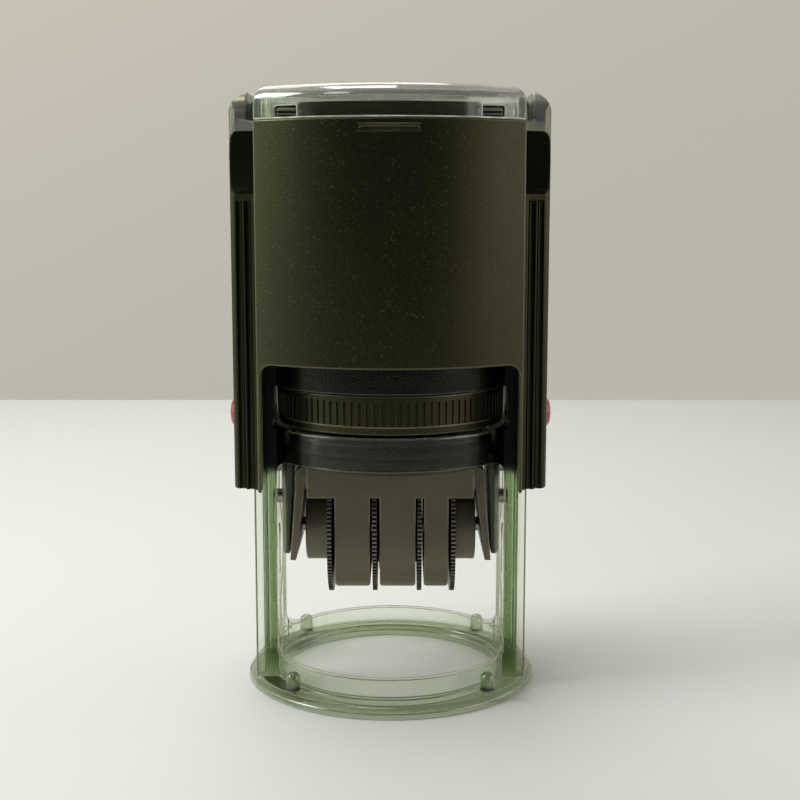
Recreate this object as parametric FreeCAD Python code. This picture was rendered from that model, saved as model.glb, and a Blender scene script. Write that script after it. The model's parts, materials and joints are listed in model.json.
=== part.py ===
import FreeCAD, Part
import math
import os
from FreeCAD import Vector

# Round self-inking date stamp. Millimetres, Z up, Y points to the back.
# The origin is the centre of the base ring, on the surface that the stamp stands on.

# Tube and bands of the clear frame
tube_radius = 25.2
tube_wall = 1.6
lower_wall_height = 4.2
window_over_pivot = 2.4
window_corner = 3.0
slot_over_die = 2.1
slot_height = 8.5
slot_side_play = 0.2
seat_plate = 1.5
seat_spigot_height = 3.0
collar_rise = 5.6

# Base ring of the clear frame
flange_width = 4.8
flange_rim_height = 1.2
flange_top = 2.2
flange_bevel = 1.1
opening_lip = 1.0
opening_lip_height = 1.4
peg_radius = 1.45
peg_height = 3.9
peg_wall_gap = 0.7
peg_place_angle = 45.0

# Side columns of the clear frame
plate_step = 0.2
plate_thickness = 2.4
plate_edge = 2.0
web_reach = 0.4
web_pin_gap = 0.45
rib_width = 2.0
rib_height = 1.7

# Turning carrier: the pivot drops by the travel while the carrier turns half a turn
pivot_height = 45.0
die_offset = 6.8
trunnion_radius = 2.0
trunnion_slot_play = 0.2
cam_arm_share = 0.19
cam_pin_radius = 1.5
cam_groove_play = 0.2
cam_groove_depth = 1.3
cam_pin_end_gap = 0.2
cam_points = 24

# Disc, cushion and text plate of the die
text_side_gap = 1.6
text_plate_base = 1.0
text_relief = 0.6
text_cushion_height = 1.2
disc_height = 3.0
disc_side_gap = 1.2
ring_relief_width = 1.0
ring_relief_inset = 0.6
line_relief_width = 1.2
line_relief_length_share = 0.52
line_relief_place_shares = [0.333, 0.486, 0.638]

# Outer legs of the carrier
leg_side_gap = 0.3
leg_thickness_top = 2.8
leg_thickness_bottom = 1.6
leg_taper = 0.4
leg_below_axle = 4.8
leg_half_depth = 8.0
leg_corner = 2.0
leg_straight_drop = 1.0
leg_over_pivot = 3.0

# Date wheels
axle_radius = 1.5
axle_end_gap = 0.25
axle_play = 0.08
wheel_radius = 13.9
wheel_top_gap = 0.4
wheel_thickness = 0.9
wheel_teeth = 60
tooth_depth = 0.55
tooth_width = 0.72
drum_radius = 8.0
wheel_place_shares = [-0.737, -0.192, 0.353, 0.76]
drum_end_shares = [-0.25, 0.078, 0.102, 0.413]
hub_radius = 7.3
hub_wheel_gap = 0.12
hub_arm_gap = 0.06

# Rubber date bands
band_start_shares = [-0.665, -0.144, 0.114, 0.425]
band_end_shares = [-0.263, 0.066, 0.305, 0.713]
band_drum_gap = 0.3
band_thickness = 1.2
band_nose_half = 2.6
type_half_height = 1.9
type_side_margin = 0.4
type_bar = 0.9
type_gap = 0.8
anvil_side_gap = 0.4
anvil_top_drop = 0.4
anvil_end_margin = 0.3
window_band_gap = 0.3
window_end_gap = 1.5

# Date housing
housing_side_inset = 2.4
wheel_proud = 0.5
housing_wall = 1.5
housing_flange = 1.9
housing_tee_height = 4.1
housing_wheel_gap_x = 0.45
housing_wheel_gap_y = 1.4
strap_start_shares = [-0.671, -0.129, 0.407]
strap_end_shares = [-0.246, 0.305, 0.701]
strap_band_gap = 0.3
strap_corner = 6.6
strap_front_corner = 1.2
inner_arm_root = 3.1
inner_arm_gap_top = 0.8
inner_arm_gap_bottom = 0.4
inner_arm_width = 1.2
inner_arm_neck = 1.9
inner_arm_depth_inset = 1.4
inner_arm_corner = 1.5
housing_screw_inset = 4.1
small_screw_head_radius = 1.6
small_screw_head = 1.1
small_screw_radius = 0.9
small_screw_bite = 2.2
small_screw_side_gap = 0.2
detent_thickness = 0.3
detent_top_gap = 0.1
detent_wheel_gap = 0.4
detent_side_inset = 2.1
detent_tongue_width = 1.6
detent_strip = 1.6

# Ink pad
pad_side_gap = 0.2
pad_rim_step = 0.3
pad_bottom_gap = 0.5
pad_top_gap = 0.5
pad_rim_height = 1.5
pad_knurls = 96
knurl_depth = 0.35
knurl_width = 0.7
knurl_top_margin = 1.1
felt_wall = 1.4
felt_recess = 1.3
felt_height = 3.0
felt_side_gap = 0.1

# Black handle
face_gap = 0.5
face_curve = 40.0
face_over_tube = 0.8
handle_wall = 1.6
panel_over_slot = 5.1
panel_height = 46.6
panel_corner = 2.6
roof_thickness = 2.0
cutout_inset = 0.7
back_leg_gap = 0.5
back_wheel_gap = 0.5
wing_arm_gap = 2.1
wing_wall = 1.6
wing_front_wall = 1.9
wing_side_play = 1.0
wing_root_step = 1.3
wing_corner_x = 1.6
wing_corner_y = 2.3
wing_corner_bulge_share = 0.68
wing_below_pivot = 3.0
wing_top_drop = 0.45
pocket_root_step = 1.8
pocket_corner_y = 0.9
ear_step = 1.6
ear_round = 4.6
ear_front_round = 5.0
flute_radius = 0.6
flute_place_shares = [0.42, 0.92]
flute_drop = 15.2
grip_drop = 1.9
grip_height = 12.0
grip_depth = 0.8
notch_half = 5.6
notch_height = 0.9
notch_depth = 0.5
notch_drop = 1.4
post_half_width = 2.0
post_thickness = 1.0
post_height = 2.2
post_inset = 6.5

# Metal yoke in the handle
yoke_gap = 0.3
yoke_thickness = 1.4
yoke_rib_gap = 0.7
yoke_bridge = 2.0
yoke_below_pivot = 3.5
yoke_spigot_height = 3.0
bearing_play = 0.05
yoke_screw_spring_gap = 3.5
yoke_screw_head_radius = 2.6
yoke_screw_head = 1.2
yoke_screw_radius = 1.2
yoke_screw_bite = 1.2

# Return spring
spring_coil_radius = 8.0
spring_wire_radius = 0.5
spring_turns = 7
spring_spigot_gap = 1.1
spigot_wall = 4.4

# Lock buttons
button_over_slot = 1.6
button_radius = 3.4
button_hole_play = 0.15
button_proud = 1.9
button_flange_radius = 4.3
button_flange = 0.5
button_flange_gap = 0.1
button_stem_radius = 1.5
button_stem_play = 0.25
button_tip_gap = 0.2

# Clear cap and card
cap_height = 6.35
cap_wall = 1.4
cap_side_gap = 0.25
cap_end_inset = 0.1
cap_lug_half_depth = 8.0
cap_lug_height = 4.6
cap_lug_round = 1.0
cap_edge_round = 3.0
card_thickness = 3.1
card_inset = 0.5
cap_window_half_width = 2.1
cap_window_height = 2.0
cap_window_low = 0.35

# One overrun for every cut, and how near an edge lies to the place it is picked by
over = 1.0
near = 0.1

# Widths that follow from the tube, from the inside out, with the travel that the columns guide
tube_inner = tube_radius - tube_wall
opening_radius = tube_inner - opening_lip
flange_radius = tube_radius + flange_width
peg_place_radius = tube_radius + peg_radius + peg_wall_gap
plate_inner = tube_inner - plate_step
slot_half = tube_inner + slot_side_play
plate_outer = plate_inner + plate_thickness
travel = pivot_height - die_offset
cam_arm = cam_arm_share * travel
plate_half_depth = cam_arm + cam_pin_radius + cam_groove_play + plate_edge
window_half = plate_inner - web_reach
web_start = cam_arm + cam_pin_radius + web_pin_gap
arm_inner = plate_outer + yoke_gap
arm_outer = arm_inner + yoke_thickness
yoke_half_depth = plate_half_depth - rib_width - yoke_rib_gap
yoke_screw_x = spring_coil_radius + spring_wire_radius + yoke_screw_spring_gap
spring_spigot_radius = spring_coil_radius - spring_wire_radius - spring_spigot_gap
spigot_hole_radius = spring_spigot_radius - spigot_wall

# Widths of the handle
face_front = tube_radius + face_gap + handle_wall
face_half_width = tube_radius + face_over_tube
cutout_half = face_half_width - cutout_inset
ear_inner = face_half_width + ear_step
cap_half_width = face_half_width - cap_end_inset
post_x = cap_half_width - post_inset
wing_outer = arm_outer + wing_arm_gap + wing_wall
wing_shoulder = wing_outer - wing_corner_x
pocket_front = plate_half_depth + wing_side_play
wing_front = pocket_front + wing_front_wall

# Widths of the die, the legs and the ink pad
text_radius = opening_radius - text_side_gap
disc_radius = opening_radius - disc_side_gap
leg_outer_top = window_half - leg_side_gap
leg_outer_bottom = leg_outer_top - leg_taper
back_half = leg_outer_top + back_leg_gap
leg_inner_top = leg_outer_top - leg_thickness_top
leg_inner_bottom = leg_outer_bottom - leg_thickness_bottom
pad_radius = tube_inner - pad_side_gap
pad_rim_radius = pad_radius - pad_rim_step
felt_radius = pad_rim_radius - felt_wall

# Heights that follow from the pivot, from the die down to the date unit
die_height = pivot_height + die_offset
lower_wall_top = flange_top + lower_wall_height
window_top = pivot_height + window_over_pivot
deck_top = die_height - text_relief - text_plate_base - text_cushion_height
deck_bottom = deck_top - disc_height
axle_height = deck_bottom - wheel_top_gap - wheel_radius
tee_top = deck_bottom - housing_flange
tee_bottom = tee_top - housing_tee_height
leg_straight_top = pivot_height - leg_straight_drop
leg_bottom = axle_height - leg_below_axle
strap_bottom = axle_height - drum_radius - band_drum_gap - band_thickness - strap_band_gap - housing_wall

# Heights of the ink pad, the spring and the handle
slot_bottom = die_height + slot_over_die
slot_top = slot_bottom + slot_height
felt_bottom = slot_bottom + pad_bottom_gap + felt_recess
felt_top = felt_bottom + felt_height
spring_low = slot_top + seat_plate
collar_top = spring_low + collar_rise
button_height = slot_bottom + button_over_slot
wing_bottom = pivot_height - wing_below_pivot
panel_bottom = slot_top + panel_over_slot
seam_height = panel_bottom + panel_height
cap_top = seam_height + cap_height
wing_top = cap_top - wing_top_drop
roof_under = seam_height - roof_thickness
spring_high = roof_under - yoke_bridge

# Depths of the date unit
housing_half_depth = wheel_radius - wheel_proud
inner_arm_half_depth = housing_half_depth - inner_arm_depth_inset
inner_arm_bend = tee_bottom + housing_wall
housing_screw_y = housing_half_depth - housing_screw_inset
anvil_half_depth = band_nose_half - anvil_side_gap

# Widths of the date unit, between the outer legs
inner_arm_top = leg_inner_top - inner_arm_gap_top
inner_arm_bottom = leg_inner_bottom - inner_arm_gap_bottom
housing_half_width = inner_arm_top - housing_side_inset
housing_screw_x = inner_arm_top - inner_arm_neck - small_screw_side_gap - small_screw_head_radius
wheel_places = [housing_half_width * share for share in wheel_place_shares]
drum_ends = [housing_half_width * share for share in drum_end_shares]
band_starts = [housing_half_width * share for share in band_start_shares]
band_ends = [housing_half_width * share for share in band_end_shares]
window_side_left = band_starts[0] - window_end_gap
window_side_right = band_ends[-1] + window_end_gap


def box(x0, x1, y0, y1, z0, z1):
    return Part.makeBox(x1 - x0, y1 - y0, z1 - z0, Vector(x0, y0, z0))


def disc(radius, z0, z1, x=0.0, y=0.0):
    return Part.makeCylinder(radius, z1 - z0, Vector(x, y, z0))


def rod(radius, x0, x1, z, y=0.0):
    return Part.makeCylinder(radius, x1 - x0, Vector(x0, y, z), Vector(1, 0, 0))


def face_of(edges):
    return Part.Face(Part.Wire(Part.__sortEdges__(edges)))


def line(a, b):
    return Part.LineSegment(a, b).toShape()


def arc(a, middle, b):
    return Part.Arc(a, middle, b).toShape()


def polygon(points):
    return Part.Face(Part.makePolygon(points + [points[0]]))


def mirrored_x(shape):
    return shape.mirror(Vector(0, 0, 0), Vector(1, 0, 0))


def mirrored_y(shape):
    return shape.mirror(Vector(0, 0, 0), Vector(0, 1, 0))


def pair(shape):
    return Part.makeCompound([shape, mirrored_x(shape)])


def xz_prism(points, half_depth):
    """A prism along Y through points given as (x, z)."""
    outline = polygon([Vector(x, -half_depth, z) for x, z in points])
    return outline.extrude(Vector(0, 2 * half_depth, 0))


def rounded_window(half_width, z0, z1, half_depth, corner):
    """A block along Y whose four long corners are rounded."""
    block = box(-half_width, half_width, -half_depth, half_depth, z0, z1)
    long_edges = [e for e in block.Edges if abs(e.tangentAt(e.FirstParameter).y) > 0.9]
    return block.makeFillet(corner, long_edges)


def save(name, shape):
    clean = shape.removeSplitter()
    if not clean.isValid():
        print("not valid:", name)
    solids = clean.Solids
    final = solids[0] if len(solids) == 1 else Part.makeCompound(solids)
    final.exportStep(os.path.join("parts", name + ".step"))
    print(name, len(solids), "solid(s)", round(final.Volume), "mm3")


def frame_plan(z0, z1):
    """The round tube with the flat seats of the side columns."""
    flat = box(-plate_outer, plate_outer, -plate_half_depth, plate_half_depth, z0, z1)
    return disc(tube_radius, z0, z1).fuse(flat)


def base_ring():
    """The flange, its bevelled rim and the lip around the printing opening."""
    points = [(opening_radius, 0.0), (flange_radius, 0.0), (flange_radius, flange_rim_height),
              (flange_radius - flange_bevel, flange_top), (tube_inner, flange_top),
              (opening_radius, opening_lip_height)]
    profile = polygon([Vector(r, 0, z) for r, z in points])
    return profile.revolve(Vector(0, 0, 0), Vector(0, 0, 1), 360)


def pegs():
    """Four domed pegs that stand on the base ring outside the lower wall."""
    shapes = []
    shaft_top = flange_top + peg_height - peg_radius
    for quarter in (peg_place_angle, 180 - peg_place_angle, 180 + peg_place_angle, -peg_place_angle):
        x = peg_place_radius * math.cos(math.radians(quarter))
        y = peg_place_radius * math.sin(math.radians(quarter))
        shaft = disc(peg_radius, opening_lip_height, shaft_top, x, y)
        shapes.append(shaft.fuse(Part.makeSphere(peg_radius, Vector(x, y, shaft_top))))
    return shapes


def curve_through(points):
    curve = Part.BSplineCurve()
    curve.interpolate(points)
    return curve.toShape()


def cam_path_point(turn):
    """Where the cam pin is when the carrier has turned by this angle."""
    drop = travel * turn / math.pi
    return (cam_arm * math.sin(turn), pivot_height - drop - cam_arm * math.cos(turn))


def cam_groove():
    """The curved groove in the inner face of a column, as a thick band along its path."""
    half = cam_pin_radius + cam_groove_play
    points = [cam_path_point(math.pi * i / cam_points) for i in range(cam_points + 1)]
    one_side, other_side = [], []
    for i, (y, z) in enumerate(points):
        before = points[max(i - 1, 0)]
        after = points[min(i + 1, cam_points)]
        length = math.hypot(after[0] - before[0], after[1] - before[1])
        ny, nz = (after[1] - before[1]) / length, -(after[0] - before[0]) / length
        one_side.append(Vector(plate_inner, y + half * ny, z + half * nz))
        other_side.append(Vector(plate_inner, y - half * ny, z - half * nz))
    outline = face_of([curve_through(one_side), curve_through(other_side),
                       line(one_side[0], other_side[0]), line(one_side[-1], other_side[-1])])
    groove = outline.extrude(Vector(cam_groove_depth, 0, 0))
    for y, z in (points[0], points[-1]):
        groove = groove.fuse(rod(half, plate_inner, plate_inner + cam_groove_depth, z, y))
    return groove.fuse(groove.translated(Vector(-over, 0, 0)))


def trunnion_slot():
    half = trunnion_radius + trunnion_slot_play
    low = pivot_height - travel
    straight = box(tube_inner - over, plate_outer + over, -half, half, low, pivot_height)
    ends = [rod(half, tube_inner - over, plate_outer + over, z) for z in (low, pivot_height)]
    return straight.fuse(ends)


def lock_hole():
    radius = button_stem_radius + button_stem_play
    return rod(radius, tube_inner - over, plate_outer + over, button_height)


def side_ribs():
    outer = plate_outer + rib_height
    rib = box(plate_outer - over, outer, plate_half_depth - rib_width, plate_half_depth,
              opening_lip_height, collar_top)
    return rib.fuse(mirrored_y(rib))


def base_frame():
    """The clear frame: base ring, tube, side columns, ink pad slot and collar in one piece."""
    body = frame_plan(opening_lip_height, collar_top)
    depth = flange_radius + over
    window = rounded_window(window_half, lower_wall_top, window_top, depth, window_corner)
    channel = box(-plate_inner, plate_inner, -web_start, web_start, lower_wall_top, window_top)
    slot = box(-slot_half, slot_half, -depth, depth, slot_bottom, slot_top)
    bore_low = disc(tube_inner, 0.0, slot_top)
    bore_high = disc(tube_inner, spring_low, collar_top + over)
    body = body.fuse([side_ribs(), mirrored_x(side_ribs())])
    body = body.cut([window, channel, slot, bore_low, bore_high])
    seat = disc(spring_spigot_radius, slot_top, spring_low + seat_spigot_height)
    body = body.fuse([base_ring(), seat] + pegs())
    cuts = [cam_groove(), trunnion_slot(), lock_hole()]
    cuts = cuts + [mirrored_x(c) for c in cuts]
    bore = disc(spigot_hole_radius, slot_top - over, spring_low + seat_spigot_height + over)
    return body.cut(cuts + [bore])


def curve_centre():
    return face_curve - face_front


def handle_plan(curve, half_width, root, front_y, side_x, side_y):
    """Plan outline of the handle: curved faces, then a step out to the round-cornered wings."""
    centre = curve_centre()
    reach = curve - centre
    panel_end = Vector(half_width, math.sqrt(curve ** 2 - half_width ** 2) - centre, 0)
    wing_start = Vector(half_width, root, 0)
    shoulder = Vector(side_x - wing_corner_x, front_y, 0)
    side = Vector(side_x, side_y, 0)
    bulge = Vector(shoulder.x + wing_corner_bulge_share * (side.x - shoulder.x),
                   side.y + wing_corner_bulge_share * (shoulder.y - side.y), 0)
    quarter = [arc(Vector(0, reach, 0), arc_middle(curve, panel_end), panel_end),
               line(panel_end, wing_start), line(wing_start, shoulder),
               arc(shoulder, bulge, side), line(side, Vector(side_x, 0, 0))]
    half = quarter + [mirrored_x(e) for e in quarter]
    return face_of(half + [mirrored_y(e) for e in half])


def arc_middle(curve, end):
    """The point half way along a curved face from its middle to its end."""
    angle = math.asin(end.x / curve) / 2
    return Vector(curve * math.sin(angle), curve * math.cos(angle) - curve_centre(), 0)


def risen(face, z0, z1):
    return face.translated(Vector(0, 0, z0)).extrude(Vector(0, 0, z1 - z0))


def handle_outer(z0, z1):
    plan = handle_plan(face_curve, face_half_width, wing_front + wing_root_step, wing_front,
                       wing_outer, wing_front - wing_corner_y)
    return risen(plan, z0, z1)


def handle_inner(z0, z1):
    half = face_half_width - handle_wall
    plan = handle_plan(face_curve - handle_wall, half, pocket_front + pocket_root_step, pocket_front,
                       wing_outer - wing_wall, pocket_front - pocket_corner_y)
    return risen(plan, z0, z1)


def ear_limit():
    """The two ears end in a round outer shoulder and round front and back shoulders."""
    high, wide = wing_top, wing_outer
    across = box(-wide, wide, -2 * wing_front, 2 * wing_front, wing_bottom - over, high)
    top_edges = [e for e in across.Edges
                 if abs(e.CenterOfMass.z - high) < near and abs(e.CenterOfMass.x) > wide / 2]
    across = across.makeFillet(ear_round, top_edges)
    depth = wing_front
    along = box(-2 * wide, 2 * wide, -depth, depth, seam_height, high)
    top_edges = [e for e in along.Edges
                 if abs(e.CenterOfMass.z - high) < near and abs(e.CenterOfMass.y) > depth / 2]
    along = along.makeFillet(ear_front_round, top_edges)
    below = box(-2 * wide, 2 * wide, -face_front - over, face_front + over, wing_bottom - over, seam_height)
    return across.fuse(below).common(along.fuse(below))


def flutes():
    """Fine grooves down the front and back of the wings."""
    cuts = []
    for share in flute_place_shares:
        x = face_half_width + share * (wing_shoulder - face_half_width)
        y = wing_front + (1 - share) * wing_root_step
        cut = disc(flute_radius, wing_bottom - over, seam_height - flute_drop, x, -y)
        cuts += [cut, mirrored_x(cut), mirrored_y(cut), mirrored_y(mirrored_x(cut))]
    return cuts


def grips():
    """A shallow hollow for the fingers at the top of each fluted face."""
    root = Vector(face_half_width, -wing_front - wing_root_step, 0)
    along = Vector(wing_shoulder, -wing_front, 0) - root
    out = Vector(along.y, -along.x, 0).normalize()
    radius = ((grip_height / 2) ** 2 + grip_depth ** 2) / (2 * grip_depth)
    start = root - along + out * (radius - grip_depth)
    start.z = seam_height - grip_drop - grip_height / 2
    block = Part.makeCylinder(radius, 3 * along.Length, start, along)
    cut = block.common(box(face_half_width, wing_outer + over, start.y - radius, 0,
                           wing_bottom, seam_height))
    return [cut, mirrored_x(cut), mirrored_y(cut), mirrored_y(mirrored_x(cut))]


def cap_posts():
    """Four small posts on the roof that centre the clear cap."""
    y = post_line()
    post = box(post_x - post_half_width, post_x + post_half_width, -y, -y + post_thickness,
               seam_height - over, seam_height + post_height)
    return [post, mirrored_x(post), mirrored_y(post), mirrored_y(mirrored_x(post))]


def post_line():
    """How far from the middle the posts stand, just inside the cap's curved wall."""
    reach = face_curve - cap_side_gap - cap_wall - card_inset
    return math.sqrt(reach ** 2 - (post_x + post_half_width) ** 2) - curve_centre()


def cutouts():
    """The wide cutout in front, and the lower one behind that clears the turning date unit."""
    low = wing_bottom - panel_corner - over
    deep = face_front + over
    front = rounded_window(cutout_half, low, panel_bottom, deep, panel_corner)
    back = rounded_window(back_half, low, back_top(), deep, panel_corner)
    forward = box(-wing_outer, wing_outer, -deep - over, 0, low - over, panel_bottom + over)
    return [front.common(forward), back.cut(forward)]


def back_top():
    """The height behind at which the outermost wheel, as it turns over, clears the curved face."""
    swing = pivot_height - axle_height + wheel_radius
    side = max(abs(place) for place in wheel_places) + wheel_thickness
    face = math.sqrt((face_curve - handle_wall) ** 2 - side ** 2) - curve_centre()
    return pivot_height + math.sqrt(max(swing ** 2 - face ** 2, 0.0)) + back_wheel_gap


def handle_shell():
    """The black shell: curved faces, roof, and a hollow wing with an ear on each side."""
    shell = handle_outer(wing_bottom, wing_top).common(ear_limit())
    above = box(-ear_inner, ear_inner, -face_front - over, face_front + over, seam_height, wing_top + over)
    shell = shell.cut([above] + flutes() + grips()).cut(handle_inner(wing_bottom - over, roof_under))
    notch = box(-notch_half, notch_half, -face_front - over, -face_front + notch_depth,
                seam_height - notch_drop - notch_height, seam_height - notch_drop)
    hole = rod(button_radius + button_hole_play, wing_outer - wing_wall - over, wing_outer + over,
               button_height)
    pilots = [disc(yoke_screw_radius, roof_under - over, roof_under + yoke_screw_bite, x)
              for x in (-yoke_screw_x, yoke_screw_x)]
    shell = shell.cut(cutouts() + [notch, hole, mirrored_x(hole)] + pilots)
    return shell.fuse(cap_posts())


def handle_yoke():
    """Sheet metal bridge under the roof with an arm down into each wing."""
    low = pivot_height - yoke_below_pivot
    arm = box(arm_inner, arm_outer, -yoke_half_depth, yoke_half_depth, low, roof_under)
    corners = [e for e in arm.Edges if abs(e.CenterOfMass.z - low) < near
               and abs(e.tangentAt(e.FirstParameter).x) > 0.9]
    arm = arm.makeFillet(yoke_below_pivot, corners)
    bearing = rod(trunnion_radius + bearing_play, arm_inner - over, arm_outer + over, pivot_height)
    stem_hole = rod(button_stem_radius + button_stem_play, arm_inner - over, arm_outer + over,
                    button_height)
    arm = arm.cut([bearing, stem_hole])
    bridge = box(-arm_inner, arm_inner, -yoke_half_depth, yoke_half_depth, spring_high, roof_under)
    spigot = disc(spring_spigot_radius, spring_high - yoke_spigot_height, spring_high)
    yoke = bridge.fuse([arm, mirrored_x(arm), spigot])
    bores = [disc(yoke_screw_radius, spring_high - over, roof_under + over, x)
             for x in (-yoke_screw_x, yoke_screw_x)]
    return yoke.cut(bores)


def yoke_screws():
    head = disc(yoke_screw_head_radius, spring_high - yoke_screw_head, spring_high, yoke_screw_x)
    shank = disc(yoke_screw_radius, spring_high, roof_under + yoke_screw_bite, yoke_screw_x)
    return pair(head.fuse(shank))


def cap_plan(inset):
    """Plan outline of the cap: the handle's curved faces between the ears."""
    curve = face_curve - inset
    half = cap_half_width - inset
    centre = curve_centre()
    y = math.sqrt(curve ** 2 - half ** 2) - centre
    corners = [Vector(half, -y, 0), Vector(half, y, 0), Vector(-half, y, 0), Vector(-half, -y, 0)]
    return face_of([arc(corners[3], Vector(0, centre - curve, 0), corners[0]),
                    line(corners[0], corners[1]),
                    arc(corners[1], Vector(0, curve - centre, 0), corners[2]),
                    line(corners[2], corners[3])])


def top_cap():
    """The clear cap: a shallow dome with a rounded edge and a lug at each ear, hollow for the card."""
    block = risen(cap_plan(0.0), seam_height, cap_top)
    top_edges = [e for e in block.Edges if e.CenterOfMass.z > cap_top - near]
    block = block.makeFillet(cap_edge_round, top_edges)
    lug = box(cap_half_width - cap_wall / 2, ear_inner - cap_side_gap, -cap_lug_half_depth,
              cap_lug_half_depth, seam_height, seam_height + cap_lug_height)
    lug_edges = [e for e in lug.Edges if e.CenterOfMass.x > cap_half_width
                 and e.CenterOfMass.z > seam_height + near]
    lug = lug.makeFillet(cap_lug_round, lug_edges)
    block = block.fuse([lug, mirrored_x(lug)])
    hollow = risen(cap_plan(cap_wall), seam_height - over, cap_top - cap_wall)
    block = block.cut(hollow)
    y = post_line()
    low = seam_height + cap_window_low
    opening = box(post_x - cap_window_half_width, post_x + cap_window_half_width,
                  -face_front - over, -y - card_inset / 2, low, low + cap_window_height)
    openings = [opening, mirrored_x(opening), mirrored_y(opening), mirrored_y(mirrored_x(opening))]
    return block.cut(openings)


def index_card():
    plan = cap_plan(cap_wall + 2 * card_inset)
    card = risen(plan, seam_height, seam_height + card_thickness)
    reach = post_line() - card_inset
    keep = box(-ear_inner, ear_inner, -reach + post_thickness, reach - post_thickness,
               seam_height, seam_height + card_thickness)
    middle = box(-post_x + post_half_width + card_inset, post_x - post_half_width - card_inset,
                 -face_front, face_front, seam_height, seam_height + card_thickness)
    return card.common(keep.fuse(middle))


def lock_button():
    """A domed button with its retaining flange and the stem that enters the column."""
    inside = wing_outer - wing_wall
    cap = rod(button_radius, inside - button_flange_gap, wing_outer + button_proud, button_height)
    outer_edge = [e for e in cap.Edges if e.CenterOfMass.x > wing_outer]
    cap = cap.makeFillet(button_proud, outer_edge)
    flange_outer = inside - button_flange_gap
    flange = rod(button_flange_radius, flange_outer - button_flange, flange_outer, button_height)
    stem = rod(button_stem_radius, plate_outer + button_tip_gap, flange_outer, button_height)
    return cap.fuse([flange, stem])


def ink_pad_cartridge():
    """The knurled cartridge: a cup that is open below, where the felt sits."""
    low = slot_bottom + pad_bottom_gap
    high = slot_top - pad_top_gap
    knurl_low = low + pad_rim_height
    rim = disc(pad_rim_radius, low, high)
    belt = disc(pad_radius, knurl_low, high)
    cuts = []
    for i in range(pad_knurls):
        angle = 360.0 * i / pad_knurls
        cut = box(pad_radius - knurl_depth, pad_radius + over, -knurl_width / 2, knurl_width / 2,
                  knurl_low - over, high - knurl_top_margin)
        cuts.append(cut.rotated(Vector(0, 0, 0), Vector(0, 0, 1), angle))
    belt = belt.cut(cuts)
    pocket = disc(felt_radius + felt_side_gap, low - over, felt_top)
    return rim.fuse(belt).cut(pocket)


def ink_pad_felt():
    return disc(felt_radius, felt_bottom, felt_top)


def biarc(p0, t0, p1, t1):
    """Two tangent arcs from p0 to p1 with the given directions at the ends."""
    v = p1 - p0
    t = t0 + t1
    a = 2 * (1 - t0.dot(t1))
    b = 2 * v.dot(t)
    d = (-b + math.sqrt(b * b + 4 * a * v.dot(v))) / (2 * a)
    joint = (p0 + p1 + (t0 - t1) * d) * 0.5
    edges = []
    for start, direction, end in ((p0, t0, joint), (p1, t1 * -1, joint)):
        chord = end - start
        radius = chord.dot(chord) / (2 * (chord - direction * chord.dot(direction)).Length)
        normal = chord - direction * chord.dot(direction)
        normal.normalize()
        centre = start + normal * radius
        half = (start + end) * 0.5 - centre
        half.normalize()
        edges.append(arc(start, centre + half * radius, end))
    return edges


def return_spring():
    """One helix of round wire between the seat plate and the yoke."""
    low = spring_low + spring_wire_radius
    high = spring_high - spring_wire_radius
    pitch = (high - low) / spring_turns
    slope = math.atan2(pitch, 2 * math.pi * spring_coil_radius)

    def point(turn):
        angle = 2 * math.pi * turn
        return Vector(spring_coil_radius * math.cos(angle), spring_coil_radius * math.sin(angle),
                      low + pitch * turn)

    def direction(turn):
        angle = 2 * math.pi * turn
        return Vector(-math.sin(angle) * math.cos(slope), math.cos(angle) * math.cos(slope),
                      math.sin(slope))

    edges = []
    for i in range(4 * spring_turns):
        a, b = i / 4, (i + 1) / 4
        edges += biarc(point(a), direction(a), point(b), direction(b))
    section = Part.Wire(Part.Circle(point(0.0), direction(0.0), spring_wire_radius).toShape())
    tube = Part.Wire(edges).makePipeShell([section], True, False)
    length = sum(e.Length for e in edges)
    print("spring tube", round(tube.Volume / (math.pi * spring_wire_radius ** 2 * length), 4),
          "of section times length, least gap", round(pitch - 2 * spring_wire_radius, 2))
    return tube


def date_window(half_depth, z0, z1):
    return box(window_side_left, window_side_right, -half_depth, half_depth, z0, z1)


def leg_inner_at(z):
    """How far out the inner face of an outer leg is at a height below its bend."""
    share = (leg_straight_top - z) / (leg_straight_top - leg_bottom)
    return leg_inner_top + share * (leg_inner_bottom - leg_inner_top)


def inner_arm_face_at(z):
    """How far out the inner face of an inner arm is at a height below its bend."""
    share = (inner_arm_bend - z) / (inner_arm_bend - leg_bottom)
    high, low = inner_arm_top - inner_arm_neck, inner_arm_bottom - inner_arm_width
    return high + share * (low - high)


def along_x_low(block, z):
    """The edges of a block that run along X at a height."""
    return [e for e in block.Edges if abs(e.CenterOfMass.z - z) < near
            and abs(e.tangentAt(e.FirstParameter).x) > 0.9]


def outer_leg():
    """A tapered leg beside the date unit with the holes for its trunnion and cam pin."""
    high = pivot_height + leg_over_pivot
    points = [(leg_inner_top, high), (leg_outer_top, high), (leg_outer_top, leg_straight_top),
              (leg_outer_bottom, leg_bottom), (leg_inner_bottom, leg_bottom), (leg_inner_top, leg_straight_top)]
    leg = xz_prism(points, leg_half_depth)
    leg = leg.makeFillet(leg_corner, along_x_low(leg, leg_bottom))
    leg = leg.common(disc(leg_outer_top, leg_bottom - over, high))
    trunnion = rod(trunnion_radius, leg_inner_top - over, leg_outer_top + over, pivot_height)
    cam = rod(cam_pin_radius, leg_inner_top - over, leg_outer_top + over, pivot_height - cam_arm)
    return leg, [trunnion, cam]


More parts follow.
